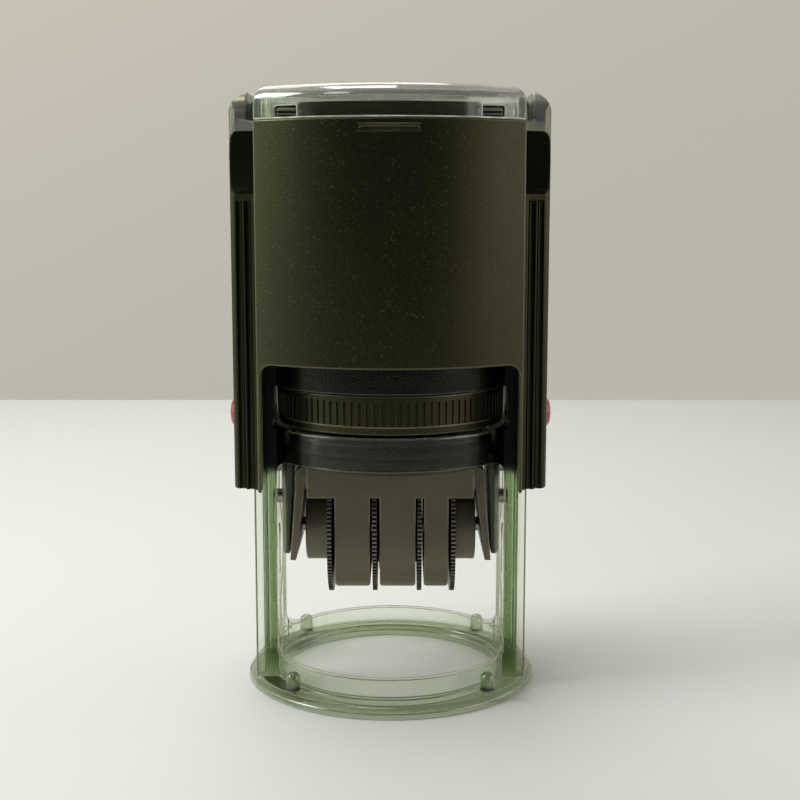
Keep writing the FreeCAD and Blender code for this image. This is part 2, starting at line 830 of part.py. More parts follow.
def die_carrier():
    """The round deck under the text plate with the two outer legs."""
    deck = disc(disc_radius, deck_bottom, deck_top)
    leg, holes = outer_leg()
    body = deck.fuse([leg, mirrored_x(leg)])
    cuts = holes + [mirrored_x(h) for h in holes]
    cuts.append(date_window(window_half_at(deck_bottom), deck_bottom - over, deck_top + over))
    for x, y in housing_screw_spots():
        cuts.append(disc(small_screw_radius, deck_bottom - over, deck_bottom + small_screw_bite, x, y))
    return body.cut(cuts)


def housing_screw_spots():
    return [(sx * housing_screw_x, sy * housing_screw_y) for sx in (-1, 1) for sy in (-1, 1)]


def trunnion_pins():
    return pair(rod(trunnion_radius, leg_inner_top, arm_outer, pivot_height))


def cam_pins():
    place = pivot_height - cam_arm
    end = plate_inner + cam_groove_depth - cam_pin_end_gap
    return pair(rod(cam_pin_radius, leg_inner_at(place), end, place))


def text_cushion():
    high = deck_top + text_cushion_height
    body = disc(text_radius, deck_top, high)
    return body.cut(date_window(window_half_at(deck_top), deck_top - over, high + over))


def text_plate():
    """The rubber plate with a plain ring and plain bars as its relief."""
    low = deck_top + text_cushion_height
    level = low + text_plate_base
    face = level + text_relief
    base = disc(text_radius, low, level)
    ring_outer = text_radius - ring_relief_inset
    ring = disc(ring_outer, level, face).cut(disc(ring_outer - ring_relief_width, level, face))
    bars = []
    for share in line_relief_place_shares:
        y = text_radius * share
        half = text_radius * line_relief_length_share - y / 2
        bar = box(-half, half, y, y + line_relief_width, level, face)
        bars += [bar, mirrored_y(bar)]
    return base.fuse([ring] + bars).cut(date_window(window_half_at(low), low - over, face + over))


def date_housing():
    """Flange, front and back tee plates, three straps around the bands and two inner arms."""
    depth, width = housing_half_depth, housing_half_width
    flange = box(-width, width, -depth, depth, tee_top, deck_bottom)
    gap_right = wheel_places[-1] + wheel_thickness / 2 + housing_wheel_gap_x
    gap_left = wheel_places[0] - wheel_thickness / 2 - housing_wheel_gap_x
    gap_depth = math.sqrt(wheel_radius ** 2 - (tee_top - axle_height) ** 2) + housing_wheel_gap_y
    flange = flange.cut(box(gap_left, gap_right, -gap_depth, gap_depth, tee_top - over, deck_bottom + over))
    tee = box(-width, width, -depth, -depth + housing_wall, tee_bottom, tee_top)
    pieces = [tee, mirrored_y(tee)]
    for start, end in zip(strap_start_shares, strap_end_shares):
        pieces.append(strap(width * start, width * end))
    arm = inner_arm()
    body = flange.fuse(pieces + [arm, mirrored_x(arm)])
    cuts = [rod(axle_radius, -inner_arm_bottom - over, inner_arm_bottom + over, axle_height)]
    for x, y in housing_screw_spots():
        cuts.append(disc(small_screw_radius, tee_top - over, deck_bottom + over, x, y))
    return body.cut(cuts)


def strap(x0, x1):
    """A strap that goes down the front, under the band and up the back."""
    depth, wall = housing_half_depth, housing_wall
    high = tee_bottom + over
    block = box(x0, x1, -depth, depth, strap_bottom, high)
    narrow = [e for e in block.Edges if abs(e.CenterOfMass.z - strap_bottom) < near
              and abs(e.tangentAt(e.FirstParameter).y) > 0.9]
    from_front = block.makeFillet(strap_front_corner, narrow)
    from_side = block.makeFillet(strap_corner, along_x_low(block, strap_bottom))
    inner = box(x0 - over, x1 + over, -depth + wall, depth - wall, strap_bottom + wall, high + over)
    inner = inner.makeFillet(strap_corner - wall, along_x_low(inner, strap_bottom + wall))
    return from_front.common(from_side).cut(inner)


def inner_arm():
    """A wide arm that bends down beside the wheels and holds one end of their axle."""
    root, neck = inner_arm_top - inner_arm_root, inner_arm_top - inner_arm_neck
    points = [(root, deck_bottom), (inner_arm_top, deck_bottom), (inner_arm_top, inner_arm_bend),
              (inner_arm_bottom, leg_bottom), (inner_arm_bottom - inner_arm_width, leg_bottom),
              (neck, inner_arm_bend), (neck, tee_top), (root, tee_top)]
    arm = xz_prism(points, inner_arm_half_depth)
    outer_edge = [e for e in arm.Edges if abs(e.CenterOfMass.z - deck_bottom) < near
                  and abs(e.CenterOfMass.x - inner_arm_top) < near]
    return arm.makeFillet(inner_arm_corner, outer_edge)


def housing_screws():
    screws = []
    for x, y in housing_screw_spots():
        head = disc(small_screw_head_radius, tee_top - small_screw_head, tee_top, x, y)
        shank = disc(small_screw_radius, tee_top, deck_bottom + small_screw_bite, x, y)
        screws.append(head.fuse(shank))
    return Part.makeCompound(screws)


def detent_spring():
    """A leaf behind the wheels with one tongue for each of them."""
    back = housing_half_depth - housing_wall
    front = back - detent_thickness
    half = housing_half_width - detent_side_inset
    high = tee_top - detent_top_gap
    low = axle_height + math.sqrt((wheel_radius + detent_wheel_gap) ** 2 - front ** 2)
    strip = box(-half, half, front, back, high - detent_strip, high)
    tongues = [box(x - detent_tongue_width / 2, x + detent_tongue_width / 2, front, back, low, high)
               for x in wheel_places]
    return strip.fuse(tongues)


def wheel_axle():
    end = leg_inner_at(axle_height) - axle_end_gap
    return rod(axle_radius, -end, end, axle_height)


def date_hub(place):
    """A flat boss on the axle between an outer wheel and the inner arm beside it."""
    start = abs(place) + wheel_thickness / 2 + hub_wheel_gap
    end = inner_arm_face_at(axle_height + hub_radius) - hub_arm_gap
    body = rod(hub_radius, start, end, axle_height)
    return body.cut(rod(axle_radius, start - over, end + over, axle_height))


def date_wheel(place, drum_end):
    """A thin toothed disc and the drum that drives its band."""
    x0, x1 = place - wheel_thickness / 2, place + wheel_thickness / 2
    rim = rod(wheel_radius, x0, x1, axle_height)
    cuts = []
    for i in range(wheel_teeth):
        cut = box(x0 - over, x1 + over, -tooth_width / 2, tooth_width / 2,
                  axle_height + wheel_radius - tooth_depth, axle_height + wheel_radius + over)
        cuts.append(cut.rotated(Vector(0, 0, axle_height), Vector(1, 0, 0), 360.0 * i / wheel_teeth))
    drum = rod(drum_radius, min(place, drum_end), max(place, drum_end), axle_height)
    bore = rod(axle_radius + axle_play, x0 - housing_half_width, x1 + housing_half_width, axle_height)
    return rim.cut(cuts).fuse(drum).cut(bore)


def band_tangent(radius, nose_half, nose_top):
    """Where the straight flank of a band leaves its drum, as (y, z)."""
    rise = nose_top - axle_height
    angle = math.atan2(rise, nose_half) - math.acos(radius / math.hypot(nose_half, rise))
    return radius * math.cos(angle), axle_height + radius * math.sin(angle)


def window_half_at(z):
    """The half depth of a window whose bottom is at this height, clear of the bands' flanks."""
    nose_half, nose_top = band_nose_half + band_thickness, die_height - text_relief
    y, tangent_z = band_tangent(drum_radius + band_drum_gap + band_thickness, nose_half, nose_top)
    share = (nose_top - z) / (nose_top - tangent_z)
    return nose_half + share * (y - nose_half) + window_band_gap


def band_face(radius, nose_half, nose_top):
    """A drum-sized arc below, straight flanks and a flat nose above, in the YZ plane."""
    y, z = band_tangent(radius, nose_half, nose_top)
    right, left = Vector(0, y, z), Vector(0, -y, z)
    nose_right, nose_left = Vector(0, nose_half, nose_top), Vector(0, -nose_half, nose_top)
    return face_of([arc(right, Vector(0, 0, axle_height - radius), left), line(left, nose_left),
                    line(nose_left, nose_right), line(nose_right, right)])


def date_band(x0, x1):
    """The rubber band around its drum and over the printing bar, with plain type on top."""
    nose_top = die_height - text_relief
    inner_radius = drum_radius + band_drum_gap
    outer = band_face(inner_radius + band_thickness, band_nose_half + band_thickness, nose_top)
    inner = band_face(inner_radius, band_nose_half, nose_top - band_thickness)
    loop = outer.cut(inner).extrude(Vector(x1 - x0, 0, 0)).translated(Vector(x0, 0, 0))
    first, last = x0 + type_side_margin, x1 - type_side_margin
    count = max(1, int((last - first + type_gap) / (type_bar + type_gap)))
    pitch = (last - first + type_gap) / count
    types = [box(first + i * pitch, first + (i + 1) * pitch - type_gap, -type_half_height,
                 type_half_height, nose_top - band_thickness / 2, die_height) for i in range(count)]
    return loop.fuse(types)


def band_anvil():
    """The bar under the bands' noses and the tie that carries it in the deck's window."""
    top = die_height - text_relief - band_thickness - anvil_top_drop
    bar = box(band_starts[0] - anvil_end_margin, band_ends[-1] + anvil_end_margin,
              -anvil_half_depth, anvil_half_depth, deck_bottom, top)
    tie = box(window_side_left, window_side_right, -anvil_half_depth, anvil_half_depth,
              deck_bottom, deck_top)
    return bar.fuse(tie)


def main():
    os.makedirs("parts", exist_ok=True)
    save("base_frame", base_frame())
    save("handle_shell", handle_shell())
    save("handle_yoke", handle_yoke())
    save("yoke_screws", yoke_screws())
    save("top_cap", top_cap())
    save("index_card", index_card())
    save("lock_button_right", lock_button())
    save("lock_button_left", mirrored_x(lock_button()))
    save("return_spring", return_spring())
    save("ink_pad_cartridge", ink_pad_cartridge())
    save("ink_pad_felt", ink_pad_felt())
    save("die_carrier", die_carrier())
    save("trunnion_pins", trunnion_pins())
    save("cam_pins", cam_pins())
    save("text_cushion", text_cushion())
    save("text_plate", text_plate())
    save("date_housing", date_housing())
    save("housing_screws", housing_screws())
    save("detent_spring", detent_spring())
    save("wheel_axle", wheel_axle())
    save("date_hub_right", date_hub(wheel_places[-1]))
    save("date_hub_left", mirrored_x(date_hub(wheel_places[0])))
    save("band_anvil", band_anvil())
    for i, place in enumerate(wheel_places):
        save("date_wheel_" + str(i + 1), date_wheel(place, drum_ends[i]))
    for i, start in enumerate(band_starts):
        save("date_band_" + str(i + 1), date_band(start, band_ends[i]))


main()
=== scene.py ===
import json
import math

import bmesh
import bpy
from bpy.props import FloatProperty, FloatVectorProperty, IntProperty, PointerProperty
from bpy.types import Operator, Panel, PropertyGroup
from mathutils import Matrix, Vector


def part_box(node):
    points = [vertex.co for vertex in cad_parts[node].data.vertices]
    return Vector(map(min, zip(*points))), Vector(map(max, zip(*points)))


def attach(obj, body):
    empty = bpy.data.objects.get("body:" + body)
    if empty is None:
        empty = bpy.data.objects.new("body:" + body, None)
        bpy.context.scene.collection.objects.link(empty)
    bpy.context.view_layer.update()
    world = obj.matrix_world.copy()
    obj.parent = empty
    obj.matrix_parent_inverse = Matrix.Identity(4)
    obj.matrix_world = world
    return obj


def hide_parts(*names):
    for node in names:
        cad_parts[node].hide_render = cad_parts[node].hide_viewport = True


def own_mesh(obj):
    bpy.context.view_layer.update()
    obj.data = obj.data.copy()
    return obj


bl_info = {
    "name": "Round date stamp",
    "version": (1, 0, 0),
    "blender": (4, 5, 0),
    "location": "3D View > Sidebar > Stamp",
    "description": "Dresses a round self-inking date stamp and sets its stage",
    "category": "Object",
}

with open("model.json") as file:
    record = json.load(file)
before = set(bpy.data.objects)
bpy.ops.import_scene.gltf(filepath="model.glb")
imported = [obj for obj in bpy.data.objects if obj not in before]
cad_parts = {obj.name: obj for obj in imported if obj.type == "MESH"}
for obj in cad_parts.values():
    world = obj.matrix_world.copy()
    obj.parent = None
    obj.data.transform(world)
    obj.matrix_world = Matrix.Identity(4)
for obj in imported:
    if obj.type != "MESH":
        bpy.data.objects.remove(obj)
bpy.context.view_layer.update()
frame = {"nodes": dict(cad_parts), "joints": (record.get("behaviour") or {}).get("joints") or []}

# Lengths in metres, angles in radians, an area, and counts of faces round a piece
MM = 0.001
WELD = 0.002 * MM
# How far up a part the painted bounce light fades
BOUNCE_LIGHT_FADE = 9 * MM
SHARP = math.radians(32)
FLAT = math.radians(0.4)
WIRE_TURN = math.radians(60)
BUTTON_TURN = math.radians(40)
FULL_TURN = 2 * math.pi
LARGE_FACE = 100 * MM * MM
FELT_SIDES = 128
DRUM_SIDES = 64
FACES_PER_TOOTH = 5
FACES_PER_GAP = 3

# How much of an axis a face's normal has
SOMEWHAT = 0.4
MOSTLY = 0.5
NEARLY_LEVEL = 0.9
STRAIGHT = 0.95
# The upward lean of the faces that take the cap's painted reflection
PAINTED_REFLECTION_SLOPE = (0.2, 0.93)

# Colours, and shares of a wheel's radius between which its pale tooth tips turn rusty
OLIVE = (1.0, 0.98, 0.5, 1.0)
WARM = (1.0, 0.98, 0.76, 1.0)
# A painted shade: the dark tone that the frame takes where black pieces stand behind it
PAINTED_SHADE_TONE = (0.003, 0.0027, 0.0012, 1.0)
GLINT = (0.12, 0.115, 0.075, 1.0)
DUST = (0.3, 0.3, 0.27, 1.0)
RUSTY = (0.075, 0.032, 0.03, 1.0)
RUSTY_FROM = -0.62
RUSTY_FULL = -0.85
ROOM_RIGHT = (1.0, 0.975, 0.92, 1.0)
ROOM_LEFT = (0.88, 1.0, 0.72, 1.0)
WIRE = (0.45, 0.44, 0.42)
BRIGHT = (0.6, 0.59, 0.57)
LEAF = (0.5, 0.49, 0.46)

# Where the frame takes a painted shade of the black pieces behind it: each pair is where the painted shade
# begins and where it is full
SHADED_SIDE = (20.6 * MM, 21.6 * MM)
SHADED_RISE = (43.5 * MM, 47 * MM)
SHADED_COLLAR = (61 * MM, 63 * MM)
SHADED_BAND_LOW = (45.3 * MM, 46.3 * MM)
SHADED_BAND_HIGH = (52.6 * MM, 52 * MM)
COLLAR_SHARE = 0.7
BAND_SHARE = 0.35

# The two pale bars of each snap window, as heights
SNAP_BARS = ((114.85 * MM, 115.35 * MM), (115.6 * MM, 116.15 * MM))
SNAP_BLUR = 0.15 * MM

# The camera, and the lamps: name, place and size in metres, power in watts, colour
EYE = (1.95 * MM, -280.8 * MM, 98.3 * MM)
AIM = (0, 0, 60 * MM)
NEAREST = 10 * MM
LAMPS = (("left_box", (-0.5, -0.1, 0.4), 0.28, 1.7, (1.0, 1.0, 0.97)),
         ("front_box", (-0.25, -0.36, 0.5), 0.12, 0.12, (1.0, 1.0, 0.98)),
         ("right_box", (0.5, -0.3, 0.14), 0.3, 0.3, (1.0, 0.98, 0.9)),
         ("top_box", (-0.1, 0.0, 0.7), 0.24, 1.15, (1.0, 0.995, 0.98)),
         ("back_box", (-0.12, 0.4, 0.5), 0.4, 0.9, (1.0, 1.0, 0.99)))


# Working with one piece at a time

def alone(piece):
    """Leaves one piece selected and active, in object mode."""
    if bpy.context.mode != "OBJECT":
        bpy.ops.object.mode_set(mode="OBJECT")
    bpy.ops.object.select_all(action="DESELECT")
    piece.select_set(True)
    bpy.context.view_layer.objects.active = piece


def clear_bench():
    """Nothing selected, so that an operator acts only on what comes next."""
    if bpy.context.mode != "OBJECT":
        bpy.ops.object.mode_set(mode="OBJECT")
    bpy.ops.object.select_all(action="DESELECT")


def edit(piece):
    alone(piece)
    bpy.ops.object.mode_set(mode="EDIT")


def done():
    bpy.ops.object.mode_set(mode="OBJECT")


def added(name):
    """Names the primitive that was just added and moves its place into its mesh."""
    piece = bpy.context.object
    piece.name = name
    piece.data.name = name
    bpy.ops.object.transform_apply(location=True, rotation=True, scale=True)
    return piece


def post(name, radius, z0, z1, sides):
    """A round upright primitive between two heights."""
    clear_bench()
    bpy.ops.mesh.primitive_cylinder_add(vertices=sides, radius=radius, depth=z1 - z0,
                                        location=(0, 0, (z0 + z1) / 2))
    return added(name)


def axle(name, radius, x0, x1, z, sides):
    """A round primitive along X."""
    clear_bench()
    bpy.ops.mesh.primitive_cylinder_add(vertices=sides, radius=radius, depth=x1 - x0,
                                        rotation=(0, math.pi / 2, 0), location=((x0 + x1) / 2, 0, z))
    return added(name)


def pick(piece, kind, test):
    """Selects only the vertices, edges or faces that pass a test, in edit mode."""
    bpy.ops.mesh.select_mode(type=kind)
    bpy.ops.mesh.select_all(action="DESELECT")
    mesh = bmesh.from_edit_mesh(piece.data)
    for item in {"VERT": mesh.verts, "EDGE": mesh.edges, "FACE": mesh.faces}[kind]:
        item.select = test(item)
    mesh.select_flush_mode()
    bmesh.update_edit_mesh(piece.data)


def middle(item):
    """The middle of an edge or a face."""
    if isinstance(item, bmesh.types.BMEdge):
        return (item.verts[0].co + item.verts[1].co) / 2
    return item.calc_center_median()


def is_sharp(edge):
    return len(edge.link_faces) == 2 and edge.calc_face_angle(0.0) > SHARP


def round_edges(piece, width, test=is_sharp, segments=3, slot=-1):
    """Bevels the edges that pass a test; the rounded strips can take a material slot of their own."""
    edit(piece)
    pick(piece, "EDGE", test)
    bpy.ops.mesh.bevel(offset=width, offset_type="OFFSET", segments=segments, profile=0.5,
                       clamp_overlap=False, material=slot)
    done()


def assign(piece, slot, test):
    """Gives the faces that pass a test one of the piece's own materials."""
    edit(piece)
    pick(piece, "FACE", test)
    piece.active_material_index = slot
    bpy.ops.object.material_slot_assign()
    done()


def smooth(piece, angle=SHARP):
    """Smooth shading in which the large faces stay flat and the rounded strips take the turn."""
    alone(piece)
    bpy.ops.object.shade_smooth_by_angle(angle=angle)
    weighted = piece.modifiers.new("weighted", "WEIGHTED_NORMAL")
    weighted.keep_sharp = True
    bpy.ops.object.modifier_apply(modifier=weighted.name)


def moulded(node, name):
    """A copy of a node's mesh with its corners merged and its flat faces made whole."""
    piece = bpy.data.objects.new(name, frame["nodes"][node].data.copy())
    bpy.context.scene.collection.objects.link(piece)
    piece.data.materials.clear()
    alone(piece)
    bpy.ops.mesh.customdata_custom_splitnormals_clear()
    edit(piece)
    bpy.ops.mesh.select_all(action="SELECT")
    bpy.ops.mesh.remove_doubles(threshold=WELD)
    bpy.ops.mesh.dissolve_limited(angle_limit=FLAT)
    done()
    return piece


def two_tone(piece, paint, edge_paint, width, segments=2):
    """Rounds the sharp edges and gives the rounded strips a material of their own."""
    for each in (paint, edge_paint):
        piece.data.materials.append(each)
    round_edges(piece, width, segments=segments, slot=1)
    smooth(piece)


def dress(piece, paint, body, slot, *nodes):
    """Gives a finished piece its material, its body and the nodes that it stands for."""
    if paint is not None:
        piece.data.materials.clear()
        piece.data.materials.append(paint)
    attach(piece, body)
    if nodes:
        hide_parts(*nodes)


def repaint(node, paint):
    """A node whose shape is right keeps its mesh and gets a better material."""
    for held in frame["nodes"][node].material_slots:
        held.material = paint


# Materials

class Socket:
    """An output of a material's nodes that can be used in a sum."""

    def __init__(self, paint, output):
        self.paint = paint
        self.output = output

    def maths(self, operation, first, second):
        return self.paint.node("ShaderNodeMath", {"operation": operation}, {0: first, 1: second})

    def __add__(self, other):
        return self.maths("ADD", self, other)

    def __radd__(self, other):
        return self.maths("ADD", other, self)

    def __sub__(self, other):
        return self.maths("SUBTRACT", self, other)

    def __rsub__(self, other):
        return self.maths("SUBTRACT", other, self)

    def __mul__(self, other):
        return self.maths("MULTIPLY", self, other)

    def __rmul__(self, other):
        return self.maths("MULTIPLY", other, self)

    def __pow__(self, other):
        return self.maths("POWER", self, other)


class Paint:
    """One material and the few ways in which its nodes are made."""

    def __init__(self, name, tree=None):
        if tree is None:
            self.material = bpy.data.materials.new(name)
            self.material.use_nodes = True
            tree = self.material.node_tree
        self.tree = tree
        self.tree.nodes.clear()

    def node(self, kind, settings=None, sockets=None, out=0):
        made = self.tree.nodes.new(kind)
        for key, value in (settings or {}).items():
            if key == "stops":
                self.set_stops(made.color_ramp, value)
            else:
                setattr(made, key, value)
        for key, value in (sockets or {}).items():
            if isinstance(value, Socket):
                self.tree.links.new(value.output, made.inputs[key])
            else:
                made.inputs[key].default_value = value
        return Socket(self, made.outputs[out]) if len(made.outputs) else made

    def set_stops(self, ramp, stops):
        while len(ramp.elements) < len(stops):
            ramp.elements.new(1.0)
        for element, (place, colour) in zip(ramp.elements, stops):
            element.position = place
            element.color = colour

    def place(self):
        return self.node("ShaderNodeTexCoord", out="Object")

    def noise(self, size, detail=2.0, rough=0.5, stretch=(1, 1, 1)):
        """Cloudy noise whose blotches are about this size, in metres, from 0 to 1."""
        spread = self.node("ShaderNodeMapping", None, {"Vector": self.place(), "Scale": stretch})
        return self.node("ShaderNodeTexNoise", None, {"Vector": spread, "Scale": 1.0 / size,
                                                      "Detail": detail, "Roughness": rough}, "Fac")

    def grains(self, size):
        """Small cells, as the distance from the middle of each of them."""
        return self.node("ShaderNodeTexVoronoi", None, {"Vector": self.place(), "Scale": 1.0 / size},
                         "Distance")

    def blend(self, share, first, second):
        return self.node("ShaderNodeMix", {"data_type": "RGBA"}, {0: share, 6: first, 7: second}, 2)

    def step(self, value, low, high, to_low=0.0, to_high=1.0):
        """A smooth step of a value between two limits."""
        return self.node("ShaderNodeMapRange", {"interpolation_type": "SMOOTHSTEP"},
                         {"Value": value, "From Min": low, "From Max": high,
                          "To Min": to_low, "To Max": to_high}, "Result")

    def bump(self, height, depth, strength=1.0):
        return self.node("ShaderNodeBump", None, {"Height": height, "Distance": depth,
                                                  "Strength": strength})

    def finish(self, volume=None, shade=None, **sockets):
        """The surface shader, with socket names written with underscores, mixed with a plain dark surface as
        painted shade in a shaded part.
        """
        named = {key.replace("_", " "): value for key, value in sockets.items()}
        surface = self.node("ShaderNodeBsdfPrincipled", None, named)
        if shade is not None:
            # Painted shade: a plain dark surface mixed in where the part is shaded
            painted_shade = self.node("ShaderNodeBsdfPrincipled", None, {"Base Color": PAINTED_SHADE_TONE, "Roughness": 0.4,
                                                                 "Specular IOR Level": 0.15})
            surface = self.node("ShaderNodeMixShader", None, {0: shade(self), 1: surface, 2: painted_shade})
        ends = {"Surface": surface}
        if volume is not None:
            ends["Volume"] = volume
        self.node("ShaderNodeOutputMaterial", None, ends)
        return self.material


def colour(values):
    return (values[0], values[1], values[2], 1.0)


def clear_plastic(name, tint, absorbed, density, thin, lean, shade=None):
    """Clear moulded plastic: light mostly goes straight through its thin walls, bends at the edges
    and grows greener with depth, over faint flow waves and fine wear. Shaded parts take a painted dark
    shade."""
    paint = Paint(name)
    waves = paint.noise(7 * MM, 1.0)
    wear = paint.noise(1.2 * MM, 4.0, 0.7)
    normal = paint.bump(waves + 0.02 * wear, 0.02 * MM, 0.6)
    away = paint.node("ShaderNodeLayerWeight", None, {"Blend": 0.5}, "Facing")
    solid = thin + lean * away ** 4
    volume = paint.node("ShaderNodeVolumeAbsorption", None, {"Color": colour(absorbed), "Density": density})
    return paint.finish(volume, shade, Base_Color=colour(tint), Roughness=0.02 * wear, IOR=1.5,
                        Transmission_Weight=1.0, Coat_Weight=1.0, Coat_Roughness=0.02, Coat_IOR=2.1,
                        Alpha=solid, Normal=normal)


def painted_shade_behind_handle(paint):
    """The share of painted shade on the frame, where black pieces stand behind it: at its collar, its upper
    sides and its lower band.
    """
    rise = paint.node("ShaderNodeSeparateXYZ", None, {0: paint.place()}, "Z")
    across = paint.node("ShaderNodeSeparateXYZ", None, {0: paint.place()}, "X")
    sides = paint.step((across * across) ** 0.5, *SHADED_SIDE) * paint.step(rise, *SHADED_RISE)
    band = paint.step(rise, *SHADED_BAND_LOW) * paint.step(rise, *SHADED_BAND_HIGH)
    collar = paint.step(rise, *SHADED_COLLAR)
    return 1 - (1 - sides) * (1 - COLLAR_SHARE * collar) * (1 - BAND_SHARE * band)


def edge_plastic(name, base, clear, shade=None, patch=1.5 * MM):
    """The rounded edges of clear plastic gather light, so they show as fine solid lines."""
    paint = Paint(name)
    wear = paint.noise(patch, 2.0, 0.5)
    dark = [0.7 * v for v in base]
    tone = paint.blend(paint.step(wear, 0.35, 0.65), colour(dark), colour(base))
    return paint.finish(None, shade, Base_Color=tone, Roughness=0.12 + 0.06 * wear, IOR=1.5,
                        Transmission_Weight=clear, Coat_Weight=1.0, Coat_Roughness=0.02, Coat_IOR=2.1,
                        Alpha=0.8 + 0.15 * wear)


def black_plastic(name, base, rough, grain, speck, sheen, slant=None):
    """Black moulded plastic with a fine spark-eroded grain, a few pale specks of dust and painted glints. It
    can take a paler tone where it is seen at a slant, as a painted sheen."""
    paint = Paint(name)
    cloud = paint.noise(14 * MM, 3.0)
    fine = paint.noise(grain, 3.0, 0.65)
    tone = speckled(paint, base, fine, speck)
    if slant is not None:
        # Painted sheen: a paler tone on faces seen at a slant
        away = paint.node("ShaderNodeLayerWeight", None, {"Blend": 0.5}, "Facing")
        tone = paint.blend(away ** 3, tone, colour(slant))
    normal = paint.bump(fine, 0.04 * MM, 0.35)
    return paint.finish(Base_Color=tone, Roughness=rough + 0.12 * (cloud - 0.5) + 0.1 * (fine - 0.5),
                        Specular_IOR_Level=sheen, Specular_Tint=OLIVE, Normal=normal)


def speckled(paint, base, fine, speck):
    """Black with a lighter grain, fine glints and sparse dust."""
    dust = paint.step(paint.grains(2.2 * MM), 0.035, 0.02)
    glint = paint.step(paint.noise(0.28 * MM, 1.0), 0.66, 0.76)
    lit = [min(1.0, 2.2 * v) for v in base]
    tone = paint.blend(paint.step(fine, 0.35, 0.75), colour(base), colour(lit))
    tone = paint.blend(glint * speck, tone, GLINT)
    return paint.blend(dust * speck, tone, DUST)


def polished_plastic(name, base, rough, sheen):
    """The polished black beside the satin faces, with soft smears."""
    paint = Paint(name)
    cloud = paint.noise(10 * MM, 3.0)
    smear = paint.noise(1.5 * MM, 2.0, 0.5, (1, 1, 0.2))
    lit = [1.6 * v for v in base]
    tone = paint.blend(smear, colour(base), colour(lit))
    return paint.finish(Base_Color=tone, Roughness=rough + 0.08 * cloud, Specular_IOR_Level=sheen,
                        Specular_Tint=OLIVE, Normal=paint.bump(smear, 0.01 * MM, 0.3))


def snap_bars(name, base, pale):
    """The black catch in a snap window, crossed by two pale moulded bars."""
    paint = Paint(name)
    rise = paint.node("ShaderNodeSeparateXYZ", None, {0: paint.place()}, "Z")
    smear = paint.noise(1.2 * MM, 2.0)
    lower, upper = [paint.step(rise, low, low + SNAP_BLUR) * paint.step(rise, high, high - SNAP_BLUR)
                    for low, high in SNAP_BARS]
    tone = paint.blend((upper + lower) * (0.7 + 0.3 * smear), colour(base), colour(pale))
    return paint.finish(Base_Color=tone, Roughness=0.25 + 0.1 * smear,
                        Normal=paint.bump(smear, 0.01 * MM, 0.3))


def satin_plastic(name, base, rough, low=None):
    """Coloured engineering plastic with a soft sheen, darker in blotches, and paler lower down as a painted
    bounce light from the table.
    """
    paint = Paint(name)
    cloud = paint.noise(8 * MM, 4.0, 0.6)
    fine = paint.noise(0.35 * MM, 2.0, 0.6)
    dark = [0.8 * v for v in base]
    tone = paint.blend(paint.step(cloud + 0.4 * (fine - 0.5), 0.3, 0.7), colour(dark), colour(base))
    if low is not None:
        # Painted bounce light: paler lower down, towards the table
        rise = paint.node("ShaderNodeSeparateXYZ", None, {0: paint.place()}, "Z")
        worn = [1.3 * v for v in base]
        tone = paint.blend(paint.step(rise, low + BOUNCE_LIGHT_FADE, low), tone, colour(worn))
    normal = paint.bump(fine, 0.03 * MM, 0.3)
    return paint.finish(Base_Color=tone, Roughness=rough + 0.15 * (cloud - 0.5), Specular_Tint=WARM,
                        Normal=normal)


def carrier_plastic(name, own, top):
    """The carrier's legs are grey, and its deck under the die is stained nearly black with ink."""
    paint = Paint(name)
    rise = paint.node("ShaderNodeSeparateXYZ", None, {0: paint.place()}, "Z")
    cloud = paint.noise(8 * MM, 4.0, 0.6)
    fine = paint.noise(0.35 * MM, 2.0, 0.6)
    ink = paint.step(rise + 1.5 * MM * (cloud - 0.5), top - own.deck_height, top - own.deck_height + 1 * MM)
    dark = [0.8 * v for v in own.leg]
    tone = paint.blend(paint.step(cloud, 0.3, 0.7), colour(dark), colour(own.leg))
    return paint.finish(Base_Color=paint.blend(ink, tone, colour(own.deck)), Specular_Tint=WARM,
                        Roughness=0.4 + 0.15 * (cloud - 0.5), Normal=paint.bump(fine, 0.03 * MM, 0.3))


def gloss_plastic(name, base, rough):
    """Smooth coloured plastic with a clear coat and faint scratches."""
    paint = Paint(name)
    scratches = paint.noise(0.5 * MM, 2.0, 0.5, (1, 1, 14))
    cloud = paint.noise(2.5 * MM, 2.0)
    dark = [0.6 * v for v in base]
    tone = paint.blend(paint.step(cloud, 0.35, 0.65), colour(dark), colour(base))
    normal = paint.bump(scratches, 0.01 * MM, 0.25)
    return paint.finish(Base_Color=tone, Roughness=rough + 0.1 * scratches, Coat_Weight=0.4 + 0.2 * cloud,
                        Coat_Roughness=0.08, Normal=normal)


def sheet_steel(name, base, rough, stretch):
    """Bright steel with drawing marks along one direction."""
    paint = Paint(name)
    marks = paint.noise(0.25 * MM, 3.0, 0.6, stretch)
    cloud = paint.noise(6 * MM, 3.0)
    dark = [0.75 * v for v in base]
    tone = paint.blend(paint.step(cloud, 0.35, 0.7), colour(dark), colour(base))
    return paint.finish(Base_Color=tone, Metallic=0.9 + 0.1 * cloud, Roughness=rough + 0.15 * marks,
                        Normal=paint.bump(marks, 0.01 * MM, 0.4))


def rubber(name, base, grain):
    """Dull rubber with a chalky bloom."""
    paint = Paint(name)
    bloom = paint.noise(3 * MM, 4.0, 0.6)
    fine = paint.noise(grain, 2.0)
    pale = [min(1.0, 1.35 * v + 0.01) for v in base]
    tone = paint.blend(paint.step(bloom, 0.4, 0.75), colour(base), colour(pale))
    return paint.finish(Base_Color=tone, Roughness=0.62 + 0.15 * bloom,
                        Normal=paint.bump(fine, 0.03 * MM, 0.4))


